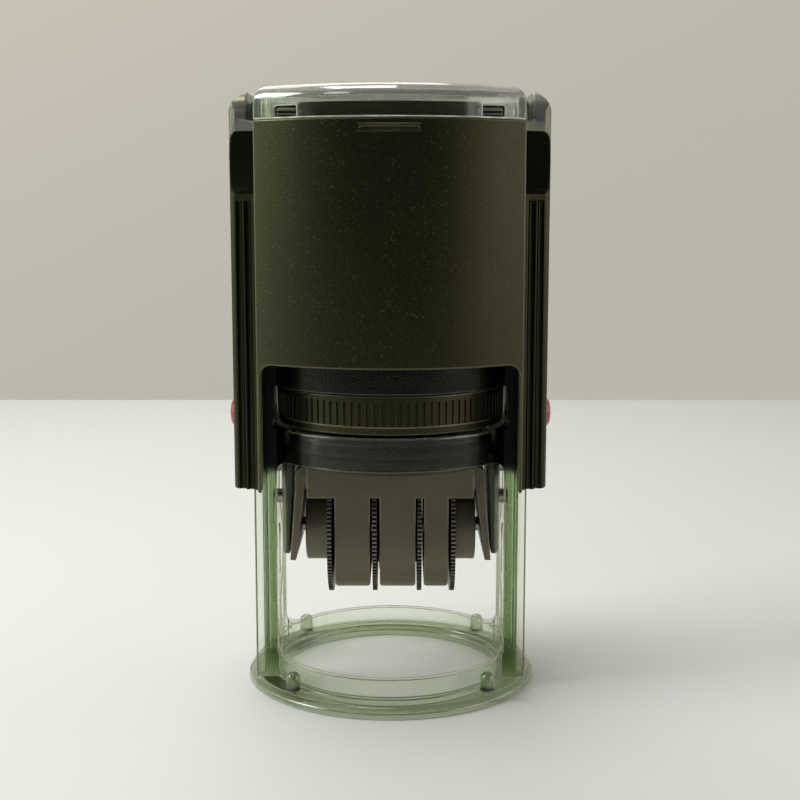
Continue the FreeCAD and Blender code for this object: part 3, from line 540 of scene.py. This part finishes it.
def felt(name, base):
    """Inked felt: matted fibres with wetter, darker patches."""
    paint = Paint(name)
    fibres = paint.noise(0.16 * MM, 5.0, 0.8, (1, 1, 0.35))
    wet = paint.noise(5 * MM, 3.0)
    pale = [min(1.0, 2.6 * v) for v in base]
    tone = paint.blend(paint.step(fibres * wet, 0.12, 0.42), colour(base), colour(pale))
    return paint.finish(Base_Color=tone, Roughness=0.95 - 0.35 * paint.step(wet, 0.45, 0.7),
                        Normal=paint.bump(fibres, 0.12 * MM, 0.8))


def wheel_plastic(name, base, worn, centre_z, tooth_top, tooth_foot):
    """Black wheel plastic whose teeth are pale at their tips."""
    paint = Paint(name)
    apart = paint.node("ShaderNodeSeparateXYZ", None, {0: paint.place()}, "Z")
    along = paint.node("ShaderNodeSeparateXYZ", None, {0: paint.place()}, "Y")
    rise = apart - centre_z
    reach = (rise * rise + along * along) ** 0.5
    tip = paint.step(reach, tooth_foot, tooth_top)
    smear = paint.noise(1.4 * MM, 3.0)
    rust = paint.step(rise, RUSTY_FROM * tooth_top, RUSTY_FULL * tooth_top)
    used = paint.blend(rust, colour(worn), RUSTY)
    tone = paint.blend(tip * paint.step(smear, 0.15, 0.5), colour(base), used)
    fine = paint.noise(0.3 * MM, 2.0)
    return paint.finish(Base_Color=tone, Roughness=0.34 + 0.2 * smear,
                        Normal=paint.bump(fine, 0.02 * MM, 0.3))


def table_top(name, base):
    """A pale table: almost one tone, with a breath of variation."""
    paint = Paint(name)
    cloud = paint.noise(120 * MM, 2.0)
    fine = paint.noise(0.8 * MM, 2.0)
    dark = [0.965 * v for v in base]
    tone = paint.blend(cloud, colour(dark), colour(base))
    return paint.finish(Base_Color=tone, Roughness=0.55 + 0.1 * cloud, Specular_IOR_Level=0.25,
                        Normal=paint.bump(fine, 0.01 * MM, 0.1))


# What a user would change

def size_setting(name, description, millimetres):
    return FloatProperty(name=name, description=description, unit="LENGTH", default=millimetres * MM)


def colour_setting(name, description, values):
    return FloatVectorProperty(name=name, description=description, subtype="COLOR", default=values)


def share_setting(name, description, value):
    return FloatProperty(name=name, description=description, subtype="FACTOR", default=value)


class FrameSettings(PropertyGroup):
    edge: size_setting("Edge", "Rounding of the frame's edges", 0.19)
    peg_circle: size_setting("Peg circle", "Radius on which the four pegs stand", 27.35)
    peg_size: size_setting("Peg size", "Radius within which a face belongs to a peg", 1.6)
    peg_foot: size_setting("Peg foot", "Height of the ring's top, where the pegs begin", 2.1)
    peg_top: size_setting("Peg top", "Height under which the pegs end", 9)
    density: FloatProperty(name="Density", description="How fast the tint grows, per metre", default=135.0)
    peg_thin: share_setting("Peg", "How much of a peg bends light, seen from straight ahead", 0.55)
    lean: share_setting("Lean", "How much more of a wall bends light, seen at a slant", 0.8)
    edge_clear: share_setting("Edge clearness", "How clear the rounded edges are", 0.45)
    thin: share_setting("Thin", "How much of a wall bends light, seen from straight ahead", 0.12)
    tint: colour_setting("Tint", "Colour of the plastic's surface", (0.97, 0.99, 0.95))
    edge_tint: colour_setting("Edge tint", "Colour of the rounded edges", (0.2, 0.21, 0.1))
    absorbed: colour_setting("Depth colour", "Colour that deep plastic takes", (0.25, 0.43, 0.05))


class HandleSettings(PropertyGroup):
    edge: size_setting("Edge", "Rounding of the shell's edges", 0.35)
    side: size_setting("Side", "How far from the middle the polished wings begin", 26.05)
    ear_height: size_setting("Ear height", "Height of the glossy ears", 7.9)
    hollow_height: size_setting("Hollow height", "Height of the finger hollows", 12.0)
    catch_face: size_setting("Catch face", "How far from the middle the snap catches' faces are", 18.5)
    catch_height: size_setting("Catch height", "How far under the top the snap catches begin", 9)
    catch_step: size_setting("Catch step", "How near to that place a catch's face is", 0.3)
    yoke_edge: size_setting("Yoke edge", "Rounding of the yoke's edges", 0.15)
    black: colour_setting("Black", "Colour of the curved faces", (0.0022, 0.0024, 0.001))
    # The slant colour is a painted sheen on the curved faces
    slant: colour_setting("Slant", "Colour of the curved faces seen at a slant", (0.3, 0.325, 0.16))
    wing: colour_setting("Wing", "Colour of the wings", (0.0035, 0.003, 0.0015))
    # The edge line is a painted highlight on the shell's rounded edges
    line: colour_setting("Edge line", "Colour of the shell's rounded edges", (0.035, 0.034, 0.022))
    # The hollows' darker colour is a painted shade in the finger hollows
    hollow: colour_setting("Hollow", "Colour of the finger hollows", (0.002, 0.0018, 0.0008))
    # The ears' pale grey is a painted highlight on the black moulding
    ear: colour_setting("Ear", "Colour of the ears", (0.12, 0.124, 0.12))
    steel: colour_setting("Steel", "Colour of the metal inside", (0.17, 0.12, 0.07))


class CapSettings(PropertyGroup):
    edge: size_setting("Edge", "Rounding of the cap's sharp edges", 0.3)
    # The shoulder's pale, blotchy tone is a painted reflection on the cap's upper rounding
    shoulder_height: size_setting("Shoulder height", "Height of the milky rounding", 3.0)
    blotch: size_setting("Blotch", "Size of the blotches in the milky rounding", 9)
    density: FloatProperty(name="Density", description="How fast the tint grows, per metre", default=260.0)
    edge_clear: share_setting("Edge clearness", "How clear the rounded edges are", 0.5)
    thin: share_setting("Thin", "How much of the cap bends light, seen from straight ahead", 0.3)
    lean: share_setting("Lean", "How much more of the cap bends light, seen at a slant", 0.75)
    tint: colour_setting("Tint", "Colour of the cap", (0.9, 0.915, 0.88))
    edge_tint: colour_setting("Edge tint", "Colour of the cap's rounded edges", (0.42, 0.44, 0.36))
    # A painted reflection on the cap's upper rounding
    shoulder_reflection: colour_setting("Shoulder", "Colour of the cap's milky upper rounding", (0.5, 0.51, 0.46))
    # The lip's bright colour is a painted highlight on the cap's lower edge
    lip: colour_setting("Lip", "Colour of the cap's bright lower edge", (0.75, 0.77, 0.7))
    absorbed: colour_setting("Depth colour", "Colour that the deep cap takes", (0.6, 0.68, 0.55))
    card: colour_setting("Card", "Colour of the card under the cap", (0.005, 0.0046, 0.0025))
    bar: colour_setting("Snap bars", "Colour of the bars in the snap windows", (0.5, 0.51, 0.44))
    button: colour_setting("Buttons", "Colour of the lock buttons", (0.42, 0.02, 0.03))


class PadSettings(PropertyGroup):
    knurls: IntProperty(name="Knurls", description="Grooves round the cartridge", default=96)
    groove: size_setting("Groove", "Depth of each groove", 0.34)
    slope: size_setting("Slope", "How far a groove's sides lean in", 0.1)
    rim: size_setting("Rim", "Height of the smooth rim", 1.5)
    rim_step: size_setting("Rim step", "How far the rim stands in", 0.3)
    ledge: size_setting("Ledge", "Height of the smooth belt over the grooves", 1.1)
    rim_wall: size_setting("Rim wall", "Wall of the rim round the felt's pocket", 1.3)
    ring_edge: size_setting("Ring edge", "Rounding of the cartridge's rings", 0.18)
    felt_edge: size_setting("Felt edge", "Rounding of the felt", 0.35)
    black: colour_setting("Black", "Colour of the cartridge", (0.007, 0.0065, 0.004))
    # The edge line is a painted highlight on the cartridge's rounded rings
    line: colour_setting("Edge line", "Colour of the cartridge's rounded rings", (0.1, 0.095, 0.07))
    ink: colour_setting("Ink", "Colour of the inked felt", (0.006, 0.006, 0.012))


class DateSettings(PropertyGroup):
    teeth: IntProperty(name="Teeth", description="Teeth of a date wheel", default=100)
    edge: size_setting("Edge", "Rounding of the straps and arms", 0.22)
    rounded_below: size_setting("Rounded below", "Height up to which the legs are rounded", 42)
    rounded_out: size_setting("Rounded outside", "Radius from which the deck is rounded", 21)
    rounded_away: size_setting("Rounded away", "How far from the axle's line the rim is rounded", 9)
    foam_edge: size_setting("Foam edge", "Rounding of the cushion", 0.2)
    plate_edge: size_setting("Plate edge", "Rounding of the text plate", 0.08)
    hub_edge: size_setting("Hub edge", "Rounding of the hubs", 0.3)
    bar_edge: size_setting("Bar edge", "Rounding of the printing bar", 0.15)
    band_edge: size_setting("Band edge", "Rounding of the date bands", 0.12)
    drum_edge: size_setting("Drum edge", "Rounding of the wheels' drums", 0.2)
    # Painted bounce light: the straps and hubs are paler towards their foot
    bounce_light_height: size_setting("Worn height", "Height over the straps' foot with full wear", 6)
    hub_bounce_light_height: size_setting("Worn hubs", "Height over the straps' foot where the hubs are worn", 7)
    tooth_tip: size_setting("Tooth tip", "How far under a tooth's top its wear is full", 0.1)
    tooth_slope: size_setting("Tooth slope", "How far a tooth's sides lean", 0.05)
    thickness: size_setting("Wheel", "Thickness of a date wheel", 0.9)
    tooth: size_setting("Tooth", "Height of a tooth", 0.5)
    drum: size_setting("Drum", "Radius of a wheel's drum", 8.0)
    deck_height: size_setting("Inked height", "How much of the carrier is inked", 4.6)
    foam: colour_setting("Foam", "Colour of the cushion", (0.07, 0.062, 0.042))
    band: colour_setting("Band", "Colour of the date bands", (0.055, 0.035, 0.03))
    grey: colour_setting("Grey", "Colour of the straps and arms", (0.112, 0.096, 0.069))
    # A painted highlight on the straps' rounded edges
    edge_highlight_grey: colour_setting("Worn grey", "Colour of their worn edges", (0.22, 0.2, 0.15))
    hub: colour_setting("Hub", "Colour of the hubs", (0.2, 0.178, 0.13))
    leg: colour_setting("Leg", "Colour of the carrier's legs", (0.075, 0.08, 0.053))
    deck: colour_setting("Deck", "Colour of the carrier's deck", (0.02, 0.02, 0.014))
    wheel: colour_setting("Wheel black", "Colour of the wheels", (0.01, 0.009, 0.008))
    worn: colour_setting("Worn", "Colour of the worn tooth tips", (0.2, 0.18, 0.15))
    rubber: colour_setting("Rubber", "Colour of the printing rubber", (0.035, 0.017, 0.01))


class StageSettings(PropertyGroup):
    table: colour_setting("Table", "Colour of the table", (0.87, 0.88, 0.865))
    wall: colour_setting("Wall", "Colour high behind the table", (0.62, 0.57, 0.48))
    wall_low: colour_setting("Low wall", "Colour low behind the table", (0.49, 0.475, 0.415))
    table_width: size_setting("Table width", "How wide the table is", 3000)
    table_end: size_setting("Table end", "How far behind the stamp the table ends", 404)
    table_front: size_setting("Table front", "How far in front of the stamp the table goes", 700)
    lens: FloatProperty(name="Lens", description="Focal length in millimetres", default=61.4)
    pitch: FloatProperty(name="Pitch", description="How far the camera looks down", subtype="ANGLE",
                         default=math.radians(8.17))


SETTINGS = {"stamp_frame": FrameSettings, "stamp_handle": HandleSettings, "stamp_cap": CapSettings,
            "stamp_pad": PadSettings, "stamp_date": DateSettings, "stamp_stage": StageSettings}


# The pieces

class STAMP_OT_clear_frame(Operator):
    """The clear frame: base ring, columns, bands and collar with rounded edges"""
    bl_idname = "stamp.clear_frame"
    bl_label = "Clear frame"

    def execute(self, context):
        own = context.scene.stamp_frame
        piece = moulded("base_frame", "clear_frame")
        # The frame's plastic and its edges take a painted shade where black pieces stand behind them
        paint = clear_plastic("clear_green_plastic", own.tint, own.absorbed, own.density, own.thin,
                              own.lean, painted_shade_behind_handle)
        edge = edge_plastic("clear_green_edge", own.edge_tint, own.edge_clear, painted_shade_behind_handle)
        two_tone(piece, paint, edge, own.edge)
        piece.data.materials.append(clear_plastic("clear_green_peg", own.tint, own.absorbed,
                                                  3 * own.density, own.peg_thin, 1 - own.peg_thin))
        assign(piece, 2, lambda f: f.material_index == 0 and self.is_peg(middle(f), own))
        dress(piece, None, "frame", "clear_frame", "base_frame")
        return {"FINISHED"}

    def is_peg(self, spot, own):
        """The four pegs that stand on the base ring."""
        place = own.peg_circle * math.cos(math.radians(45))
        off = math.hypot(abs(spot.x) - place, abs(spot.y) - place)
        return off < own.peg_size and own.peg_foot < spot.z < own.peg_top


class STAMP_OT_return_spring(Operator):
    """The return spring, which shortens on the real stamp as the handle goes down; here a smoothed copy with
    a mesh of its own
    """
    bl_idname = "stamp.return_spring"
    bl_label = "Return spring"

    def execute(self, context):
        piece = moulded("return_spring", "spring_coil")
        smooth(piece, WIRE_TURN)
        paint = sheet_steel("spring_wire", WIRE, 0.3, (1, 1, 1))
        dress(piece, paint, "frame", "spring_steel", "return_spring")
        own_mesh(piece)
        return {"FINISHED"}


class STAMP_OT_ink_pad(Operator):
    """The knurled ink pad cartridge and its felt"""
    bl_idname = "stamp.ink_pad"
    bl_label = "Ink pad"

    def execute(self, context):
        own = context.scene.stamp_pad
        low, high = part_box("ink_pad_cartridge")
        felt_low, felt_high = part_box("ink_pad_felt")
        belt_low = low.z + own.rim
        piece = post("ink_cartridge", high.x, belt_low, high.z, 2 * own.knurls)
        edit(piece)
        bpy.ops.mesh.select_all(action="SELECT")
        bpy.ops.mesh.bisect(plane_co=(0, 0, high.z - own.ledge), plane_no=(0, 0, 1))
        self.cut_grooves(piece, own, high.z - own.ledge)
        self.add_rim(piece, own, belt_low, felt_high)
        done()
        ring_heights = (high.z, belt_low, low.z)
        # The rounded rings take a paler colour, a painted highlight
        for paint in (black_plastic("pad_plastic", own.black, 0.4, 0.25 * MM, 0.3, 0.35),
                      polished_plastic("pad_line", own.line, 0.22, 0.9)):
            piece.data.materials.append(paint)
        round_edges(piece, own.ring_edge, lambda e: is_ring(e, ring_heights), segments=2, slot=1)
        smooth(piece)
        dress(piece, None, "ink_pad", "pad_black", "ink_pad_cartridge")

        pad = post("ink_felt", felt_high.x, felt_low.z, felt_high.z, FELT_SIDES)
        round_edges(pad, own.felt_edge)
        smooth(pad)
        dress(pad, felt("inked_felt", own.ink), "ink_pad", "ink_felt", "ink_pad_felt")
        return {"FINISHED"}

    def cut_grooves(self, piece, own, top):
        """Every second side face becomes a groove with leaning sides."""
        turn = FULL_TURN / (2 * own.knurls)

        def is_groove(face):
            spot = middle(face)
            if abs(face.normal.z) > MOSTLY or spot.z > top:
                return False
            return math.floor(math.atan2(spot.y, spot.x) / turn) % 2 == 0

        pick(piece, "FACE", is_groove)
        bpy.ops.mesh.inset(thickness=own.slope, depth=-own.groove, use_individual=True)

    def add_rim(self, piece, own, belt_low, felt_high):
        """The bottom face steps in, goes down as the rim and leaves the pocket for the felt."""
        pick(piece, "FACE", lambda f: f.normal.z < -MOSTLY and f.calc_area() > LARGE_FACE)
        bpy.ops.mesh.inset(thickness=own.rim_step)
        bpy.ops.mesh.extrude_region_move(TRANSFORM_OT_translate={"value": (0, 0, -own.rim)})
        bpy.ops.mesh.inset(thickness=own.rim_wall)
        bpy.ops.mesh.extrude_region_move(
            TRANSFORM_OT_translate={"value": (0, 0, felt_high.z - belt_low + own.rim)})


def is_ring(edge, heights):
    """A sharp edge that lies at one of these heights."""
    first, second = edge.verts[0].co.z, edge.verts[1].co.z
    level = any(abs(first - z) < WELD and abs(second - z) < WELD for z in heights)
    return level and is_sharp(edge)


class STAMP_OT_handle(Operator):
    """The black handle shell with its wings and ears"""
    bl_idname = "stamp.handle"
    bl_label = "Handle"

    def execute(self, context):
        own = context.scene.stamp_handle
        piece = moulded("handle_shell", "handle_shell_black")
        _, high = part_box("handle_shell")
        ear_low = high.z - own.ear_height
        hollow_low = ear_low - own.hollow_height
        # Painted light in these materials: a sheen on the curved faces seen at a slant, a darker, duller
        # shade in the finger hollows, a highlight in the ears' pale grey and a highlight on the rounded
        # edges
        for paint in (black_plastic("handle_satin", own.black, 0.4, 0.22 * MM, 0.8, 0.38, own.slant),
                      polished_plastic("wing_polish", own.wing, 0.3, 0.3),
                      polished_plastic("hollow_dull", own.hollow, 0.5, 0.05),
                      polished_plastic("ear_gloss", own.ear, 0.22, 0.9),
                      polished_plastic("edge_line", own.line, 0.25, 0.8),
                      snap_bars("snap_bars", own.black, context.scene.stamp_cap.bar)):
            piece.data.materials.append(paint)
        # The rounded edges take the painted highlight
        round_edges(piece, own.edge, slot=4)
        smooth(piece)
        assign(piece, 5, lambda f: abs(f.normal.y) > STRAIGHT and middle(f).z > high.z - own.catch_height
               and abs(abs(middle(f).y) - own.catch_face) < own.catch_step)
        assign(piece, 1, lambda f: own.side < abs(middle(f).x))
        # The finger hollows take the painted shade
        assign(piece, 2, lambda f: abs(middle(f).x) > own.side and abs(f.normal.y) > SOMEWHAT
               and hollow_low < middle(f).z < ear_low)
        # The ears take the painted highlight
        assign(piece, 3, lambda f: abs(middle(f).x) > own.side and middle(f).z > ear_low)
        dress(piece, None, "handle", "handle_black", "handle_shell")
        return {"FINISHED"}


class STAMP_OT_yoke(Operator):
    """The metal yoke inside the handle, and the steel of the screws, pins, axle and leaf spring"""
    bl_idname = "stamp.yoke"
    bl_label = "Yoke"

    def execute(self, context):
        own = context.scene.stamp_handle
        piece = moulded("handle_yoke", "yoke_sheet")
        round_edges(piece, own.yoke_edge, segments=2)
        smooth(piece)
        paint = sheet_steel("yoke_zinc", own.steel, 0.32, (1, 1, 0.08))
        dress(piece, paint, "handle", "yoke_steel", "handle_yoke")
        bright = sheet_steel("bright_steel", BRIGHT, 0.25, (1, 0.1, 1))
        for node in ("yoke_screws", "trunnion_pins", "cam_pins", "housing_screws", "wheel_axle"):
            repaint(node, bright)
        repaint("detent_spring", sheet_steel("leaf_steel", LEAF, 0.28, (1, 1, 0.1)))
        return {"FINISHED"}


class STAMP_OT_cap(Operator):
    """The clear cap, the dark card under it and the two lock buttons"""
    bl_idname = "stamp.cap"
    bl_label = "Cap, card and buttons"

    def execute(self, context):
        own = context.scene.stamp_cap
        piece = moulded("top_cap", "clear_cap")
        paint = clear_plastic("clear_cap_plastic", own.tint, own.absorbed, own.density, own.thin, own.lean)
        edge = edge_plastic("clear_cap_edge", own.edge_tint, own.edge_clear)
        two_tone(piece, paint, edge, own.edge)
        low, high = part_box("top_cap")
        # A painted highlight: the bright colour of the cap's lower edge
        piece.data.materials.append(gloss_plastic("clear_cap_lip", own.lip, 0.25))
        assign(piece, 2, lambda f: middle(f).z < low.z + own.edge and abs(f.normal.z) < NEARLY_LEVEL)
        # A painted reflection: a pale, blotchy tone on the cap's upper rounding
        piece.data.materials.append(edge_plastic("clear_cap_shoulder", own.shoulder_reflection, own.edge_clear, None,
                                                 own.blotch))
        assign(piece, 3, lambda f: PAINTED_REFLECTION_SLOPE[0] < f.normal.z < PAINTED_REFLECTION_SLOPE[1]
               and middle(f).z > high.z - own.shoulder_height)
        dress(piece, None, "cap", "clear_cap", "top_cap")

        card = moulded("index_card", "index_card_dark")
        round_edges(card, own.edge)
        smooth(card)
        dress(card, black_plastic("card_stock", own.card, 0.5, 0.4 * MM, 0.4, 0.2), "handle", "card",
              "index_card")

        red = gloss_plastic("button_plastic", own.button, 0.2)
        for side in ("left", "right"):
            button = moulded("lock_button_" + side, "button_" + side + "_red")
            smooth(button, BUTTON_TURN)
            dress(button, red, "button_" + side, "button_red", "lock_button_" + side)
        return {"FINISHED"}


class STAMP_OT_carrier(Operator):
    """The turning carrier with its cushion and its rubber text plate"""
    bl_idname = "stamp.carrier"
    bl_label = "Carrier and text plate"

    def execute(self, context):
        own = context.scene.stamp_date
        piece = moulded("die_carrier", "carrier_deck")
        round_edges(piece, own.edge, lambda e: is_sharp(e) and self.is_open(middle(e), own), segments=2)
        smooth(piece)
        _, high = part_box("die_carrier")
        dress(piece, carrier_plastic("carrier_plastic", own, high.z), "carrier", "carrier_grey",
              "die_carrier")
        foam = moulded("text_cushion", "cushion_sheet")
        round_edges(foam, own.foam_edge, segments=2)
        smooth(foam)
        dress(foam, rubber("cushion_foam", own.foam, 0.3 * MM), "carrier", "cushion_foam", "text_cushion")
        plate = moulded("text_plate", "text_plate_rubber")
        round_edges(plate, own.plate_edge, segments=2)
        smooth(plate)
        dress(plate, rubber("die_rubber", own.rubber, 0.2 * MM), "carrier", "die_rubber", "text_plate")
        return {"FINISHED"}

    def is_open(self, spot, own):
        """The legs and the deck's rim, and not the tight corners between them."""
        on_rim = math.hypot(spot.x, spot.y) > own.rounded_out and abs(spot.y) > own.rounded_away
        return spot.z < own.rounded_below or on_rim


class STAMP_OT_date_unit(Operator):
    """The date unit's housing, hubs, printing bar and rubber bands"""
    bl_idname = "stamp.date_unit"
    bl_label = "Date unit"

    def execute(self, context):
        own = context.scene.stamp_date
        piece = moulded("date_housing", "date_straps")
        low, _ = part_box("date_housing")
        # The straps are painted paler towards their foot as bounce light, and their rounded edges take a
        # painted highlight
        two_tone(piece, satin_plastic("housing_plastic", own.grey, 0.42, low.z + own.bounce_light_height),
                 satin_plastic("housing_edge", own.edge_highlight_grey, 0.35), own.edge, 3)
        dress(piece, None, "carrier", "housing_grey", "date_housing")
        # The hubs are painted paler towards their foot as bounce light
        hub_black = satin_plastic("hub_plastic", own.hub, 0.36, low.z + own.hub_bounce_light_height)
        for side in ("left", "right"):
            hub = moulded("date_hub_" + side, "hub_" + side)
            round_edges(hub, own.hub_edge)
            smooth(hub)
            dress(hub, hub_black, "carrier", "hub_black", "date_hub_" + side)
        anvil = moulded("band_anvil", "printing_bar")
        round_edges(anvil, own.bar_edge)
        smooth(anvil)
        dress(anvil, satin_plastic("bar_plastic", own.deck, 0.4), "carrier", "carrier_grey", "band_anvil")
        band_rubber = rubber("band_rubber", own.band, 0.2 * MM)
        for i in range(1, 5):
            band = moulded("date_band_%d" % i, "band_%d" % i)
            round_edges(band, own.band_edge, segments=2)
            smooth(band)
            dress(band, band_rubber, "carrier", "band_rubber", "date_band_%d" % i)
        return {"FINISHED"}


class STAMP_OT_date_wheels(Operator):
    """The four toothed date wheels with their drums"""
    bl_idname = "stamp.date_wheels"
    bl_label = "Date wheels"

    def execute(self, context):
        own = context.scene.stamp_date
        turning = [j for j in frame["joints"] if j["name"].startswith("date_wheel")]
        for joint in turning:
            node = joint["name"].replace("_turn", "")
            place, height = joint["pos_m"][0], joint["pos_m"][2]
            low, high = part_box(node)
            radius = high.y
            paint = wheel_plastic(node + "_black", own.wheel, own.worn, height, radius - own.tooth_tip,
                                  radius - own.tooth)
            piece = self.toothed_disc(node + "_toothed", own, radius, place, height)
            self.add_drum(piece, own, low, high, place, height)
            smooth(piece)
            dress(piece, paint, joint["child"], "wheel_black", node)
        return {"FINISHED"}

    def toothed_disc(self, name, own, radius, place, height):
        """A disc with some side faces to each tooth, of which those of its gap are pressed in together."""
        half = own.thickness / 2
        piece = axle(name, radius, place - half, place + half, height, FACES_PER_TOOTH * own.teeth)
        turn = FULL_TURN / (FACES_PER_TOOTH * own.teeth)

        def is_gap(face):
            spot = middle(face)
            angle = math.atan2(spot.z - height, spot.y)
            return abs(face.normal.x) < MOSTLY and math.floor(angle / turn) % FACES_PER_TOOTH < FACES_PER_GAP

        edit(piece)
        pick(piece, "FACE", is_gap)
        bpy.ops.mesh.inset(thickness=own.tooth_slope, depth=-own.tooth)
        done()
        return piece

    def add_drum(self, piece, own, low, high, place, height):
        """The drum on the side of the wheel that its band runs on."""
        to_left = place - low.x > high.x - place
        half = own.thickness / 2
        start, end = (low.x, place - half) if to_left else (place + half, high.x)
        drum = axle("drum", own.drum, start, end, height, DRUM_SIDES)
        round_edges(drum, own.drum_edge)
        alone(piece)
        drum.select_set(True)
        bpy.ops.object.join()


# The stage

class STAMP_OT_stage(Operator):
    """The table, the light and the camera"""
    bl_idname = "stamp.stage"
    bl_label = "Stage"

    def execute(self, context):
        own = context.scene.stamp_stage
        context.scene.view_settings.view_transform = "Standard"
        self.add_table(own)
        self.set_world(context.scene, own)
        self.add_lamps()
        self.add_camera(context.scene, own)
        return {"FINISHED"}

    def add_table(self, own):
        clear_bench()
        bpy.ops.mesh.primitive_plane_add(size=1.0, location=(0, 0, 0))
        table = bpy.context.object
        table.name = "table"
        table.scale = (own.table_width, own.table_front + own.table_end, 1.0)
        table.location = (0, (own.table_end - own.table_front) / 2, 0)
        bpy.ops.object.transform_apply(location=True, rotation=True, scale=True)
        table.data.materials.append(table_top("table_white", own.table))

    def set_world(self, scene, own):
        """The wall where it is seen, and a room that is dark in front and brightest at both sides."""
        world = bpy.data.worlds.new("room")
        world.use_nodes = True
        scene.world = world
        paint = Paint("room", world.node_tree)
        rays = {name: paint.node("ShaderNodeLightPath", out=name)
                for name in ("Is Camera Ray", "Transmission Depth", "Is Glossy Ray", "Is Diffuse Ray")}
        direction = paint.node("ShaderNodeTexCoord", out="Generated")
        ahead = paint.node("ShaderNodeSeparateXYZ", None, {0: direction}, "Y")
        across = paint.node("ShaderNodeSeparateXYZ", None, {0: direction}, "X")
        rise = paint.node("ShaderNodeSeparateXYZ", None, {0: direction}, "Z")
        sides = paint.step((across * across) ** 0.5, 0.66, 0.96) * paint.step(rise, 0.75, 0.2)
        level = paint.step(ahead, -0.55, 0.3, 0.01, 0.42) + 1.4 * sides * (1 - 0.6 * rays["Is Diffuse Ray"])
        behind = paint.step(ahead, 0.3, 0.5)
        seen = (rays["Is Camera Ray"] + rays["Transmission Depth"] + rays["Is Glossy Ray"] * behind)
        left = paint.step(across, 0.2, -0.7)
        tone = paint.blend(left, ROOM_RIGHT, ROOM_LEFT)
        glow = paint.node("ShaderNodeBackground", None, {"Color": tone, "Strength": level})
        corner = paint.blend(paint.step(rise - 0.5 * across, -0.1, 0.5), colour(own.wall_low),
                             colour(own.wall))
        wall = paint.node("ShaderNodeBackground", None, {"Color": corner, "Strength": 1.0})
        surface = paint.node("ShaderNodeMixShader", None, {0: seen, 1: glow, 2: wall})
        paint.node("ShaderNodeOutputWorld", None, {"Surface": surface})

    def add_lamps(self):
        for settings in LAMPS:
            self.lamp(*settings)

    def lamp(self, name, place, size, power, tone):
        clear_bench()
        bpy.ops.object.light_add(type="AREA", location=place)
        lamp = bpy.context.object
        lamp.name = name
        lamp.data.size = size
        lamp.data.energy = power
        lamp.data.color = tone
        aim = Vector(AIM) - Vector(place)
        lamp.rotation_euler = aim.to_track_quat("-Z", "Y").to_euler()

    def add_camera(self, scene, own):
        clear_bench()
        bpy.ops.object.camera_add(location=EYE, rotation=(math.pi / 2 - own.pitch, 0, 0))
        camera = bpy.context.object
        camera.name = "photo_camera"
        camera.data.sensor_width = 36.0
        camera.data.lens = own.lens
        camera.data.clip_start = NEAREST
        scene.camera = camera


PIECE_OPERATORS = (STAMP_OT_clear_frame, STAMP_OT_return_spring, STAMP_OT_ink_pad, STAMP_OT_handle,
                   STAMP_OT_yoke, STAMP_OT_cap, STAMP_OT_carrier, STAMP_OT_date_unit, STAMP_OT_date_wheels,
                   STAMP_OT_stage)


class STAMP_PT_panel(Panel):
    """Lists the steps that dress the stamp"""
    bl_idname = "STAMP_PT_panel"
    bl_label = "Date stamp"
    bl_space_type = "VIEW_3D"
    bl_region_type = "UI"
    bl_category = "Stamp"

    def draw(self, context):
        for step in PIECE_OPERATORS:
            self.layout.operator(step.bl_idname)


def register():
    for made in (*SETTINGS.values(), *PIECE_OPERATORS, STAMP_PT_panel):
        bpy.utils.register_class(made)
    for name, settings in SETTINGS.items():
        setattr(bpy.types.Scene, name, PointerProperty(type=settings))


def unregister():
    for name in SETTINGS:
        delattr(bpy.types.Scene, name)
    for made in reversed((*SETTINGS.values(), *PIECE_OPERATORS, STAMP_PT_panel)):
        bpy.utils.unregister_class(made)


def main():
    register()
    for step in PIECE_OPERATORS:
        group, name = step.bl_idname.split(".")
        getattr(getattr(bpy.ops, group), name)()


if __name__ == "__main__":
    main()
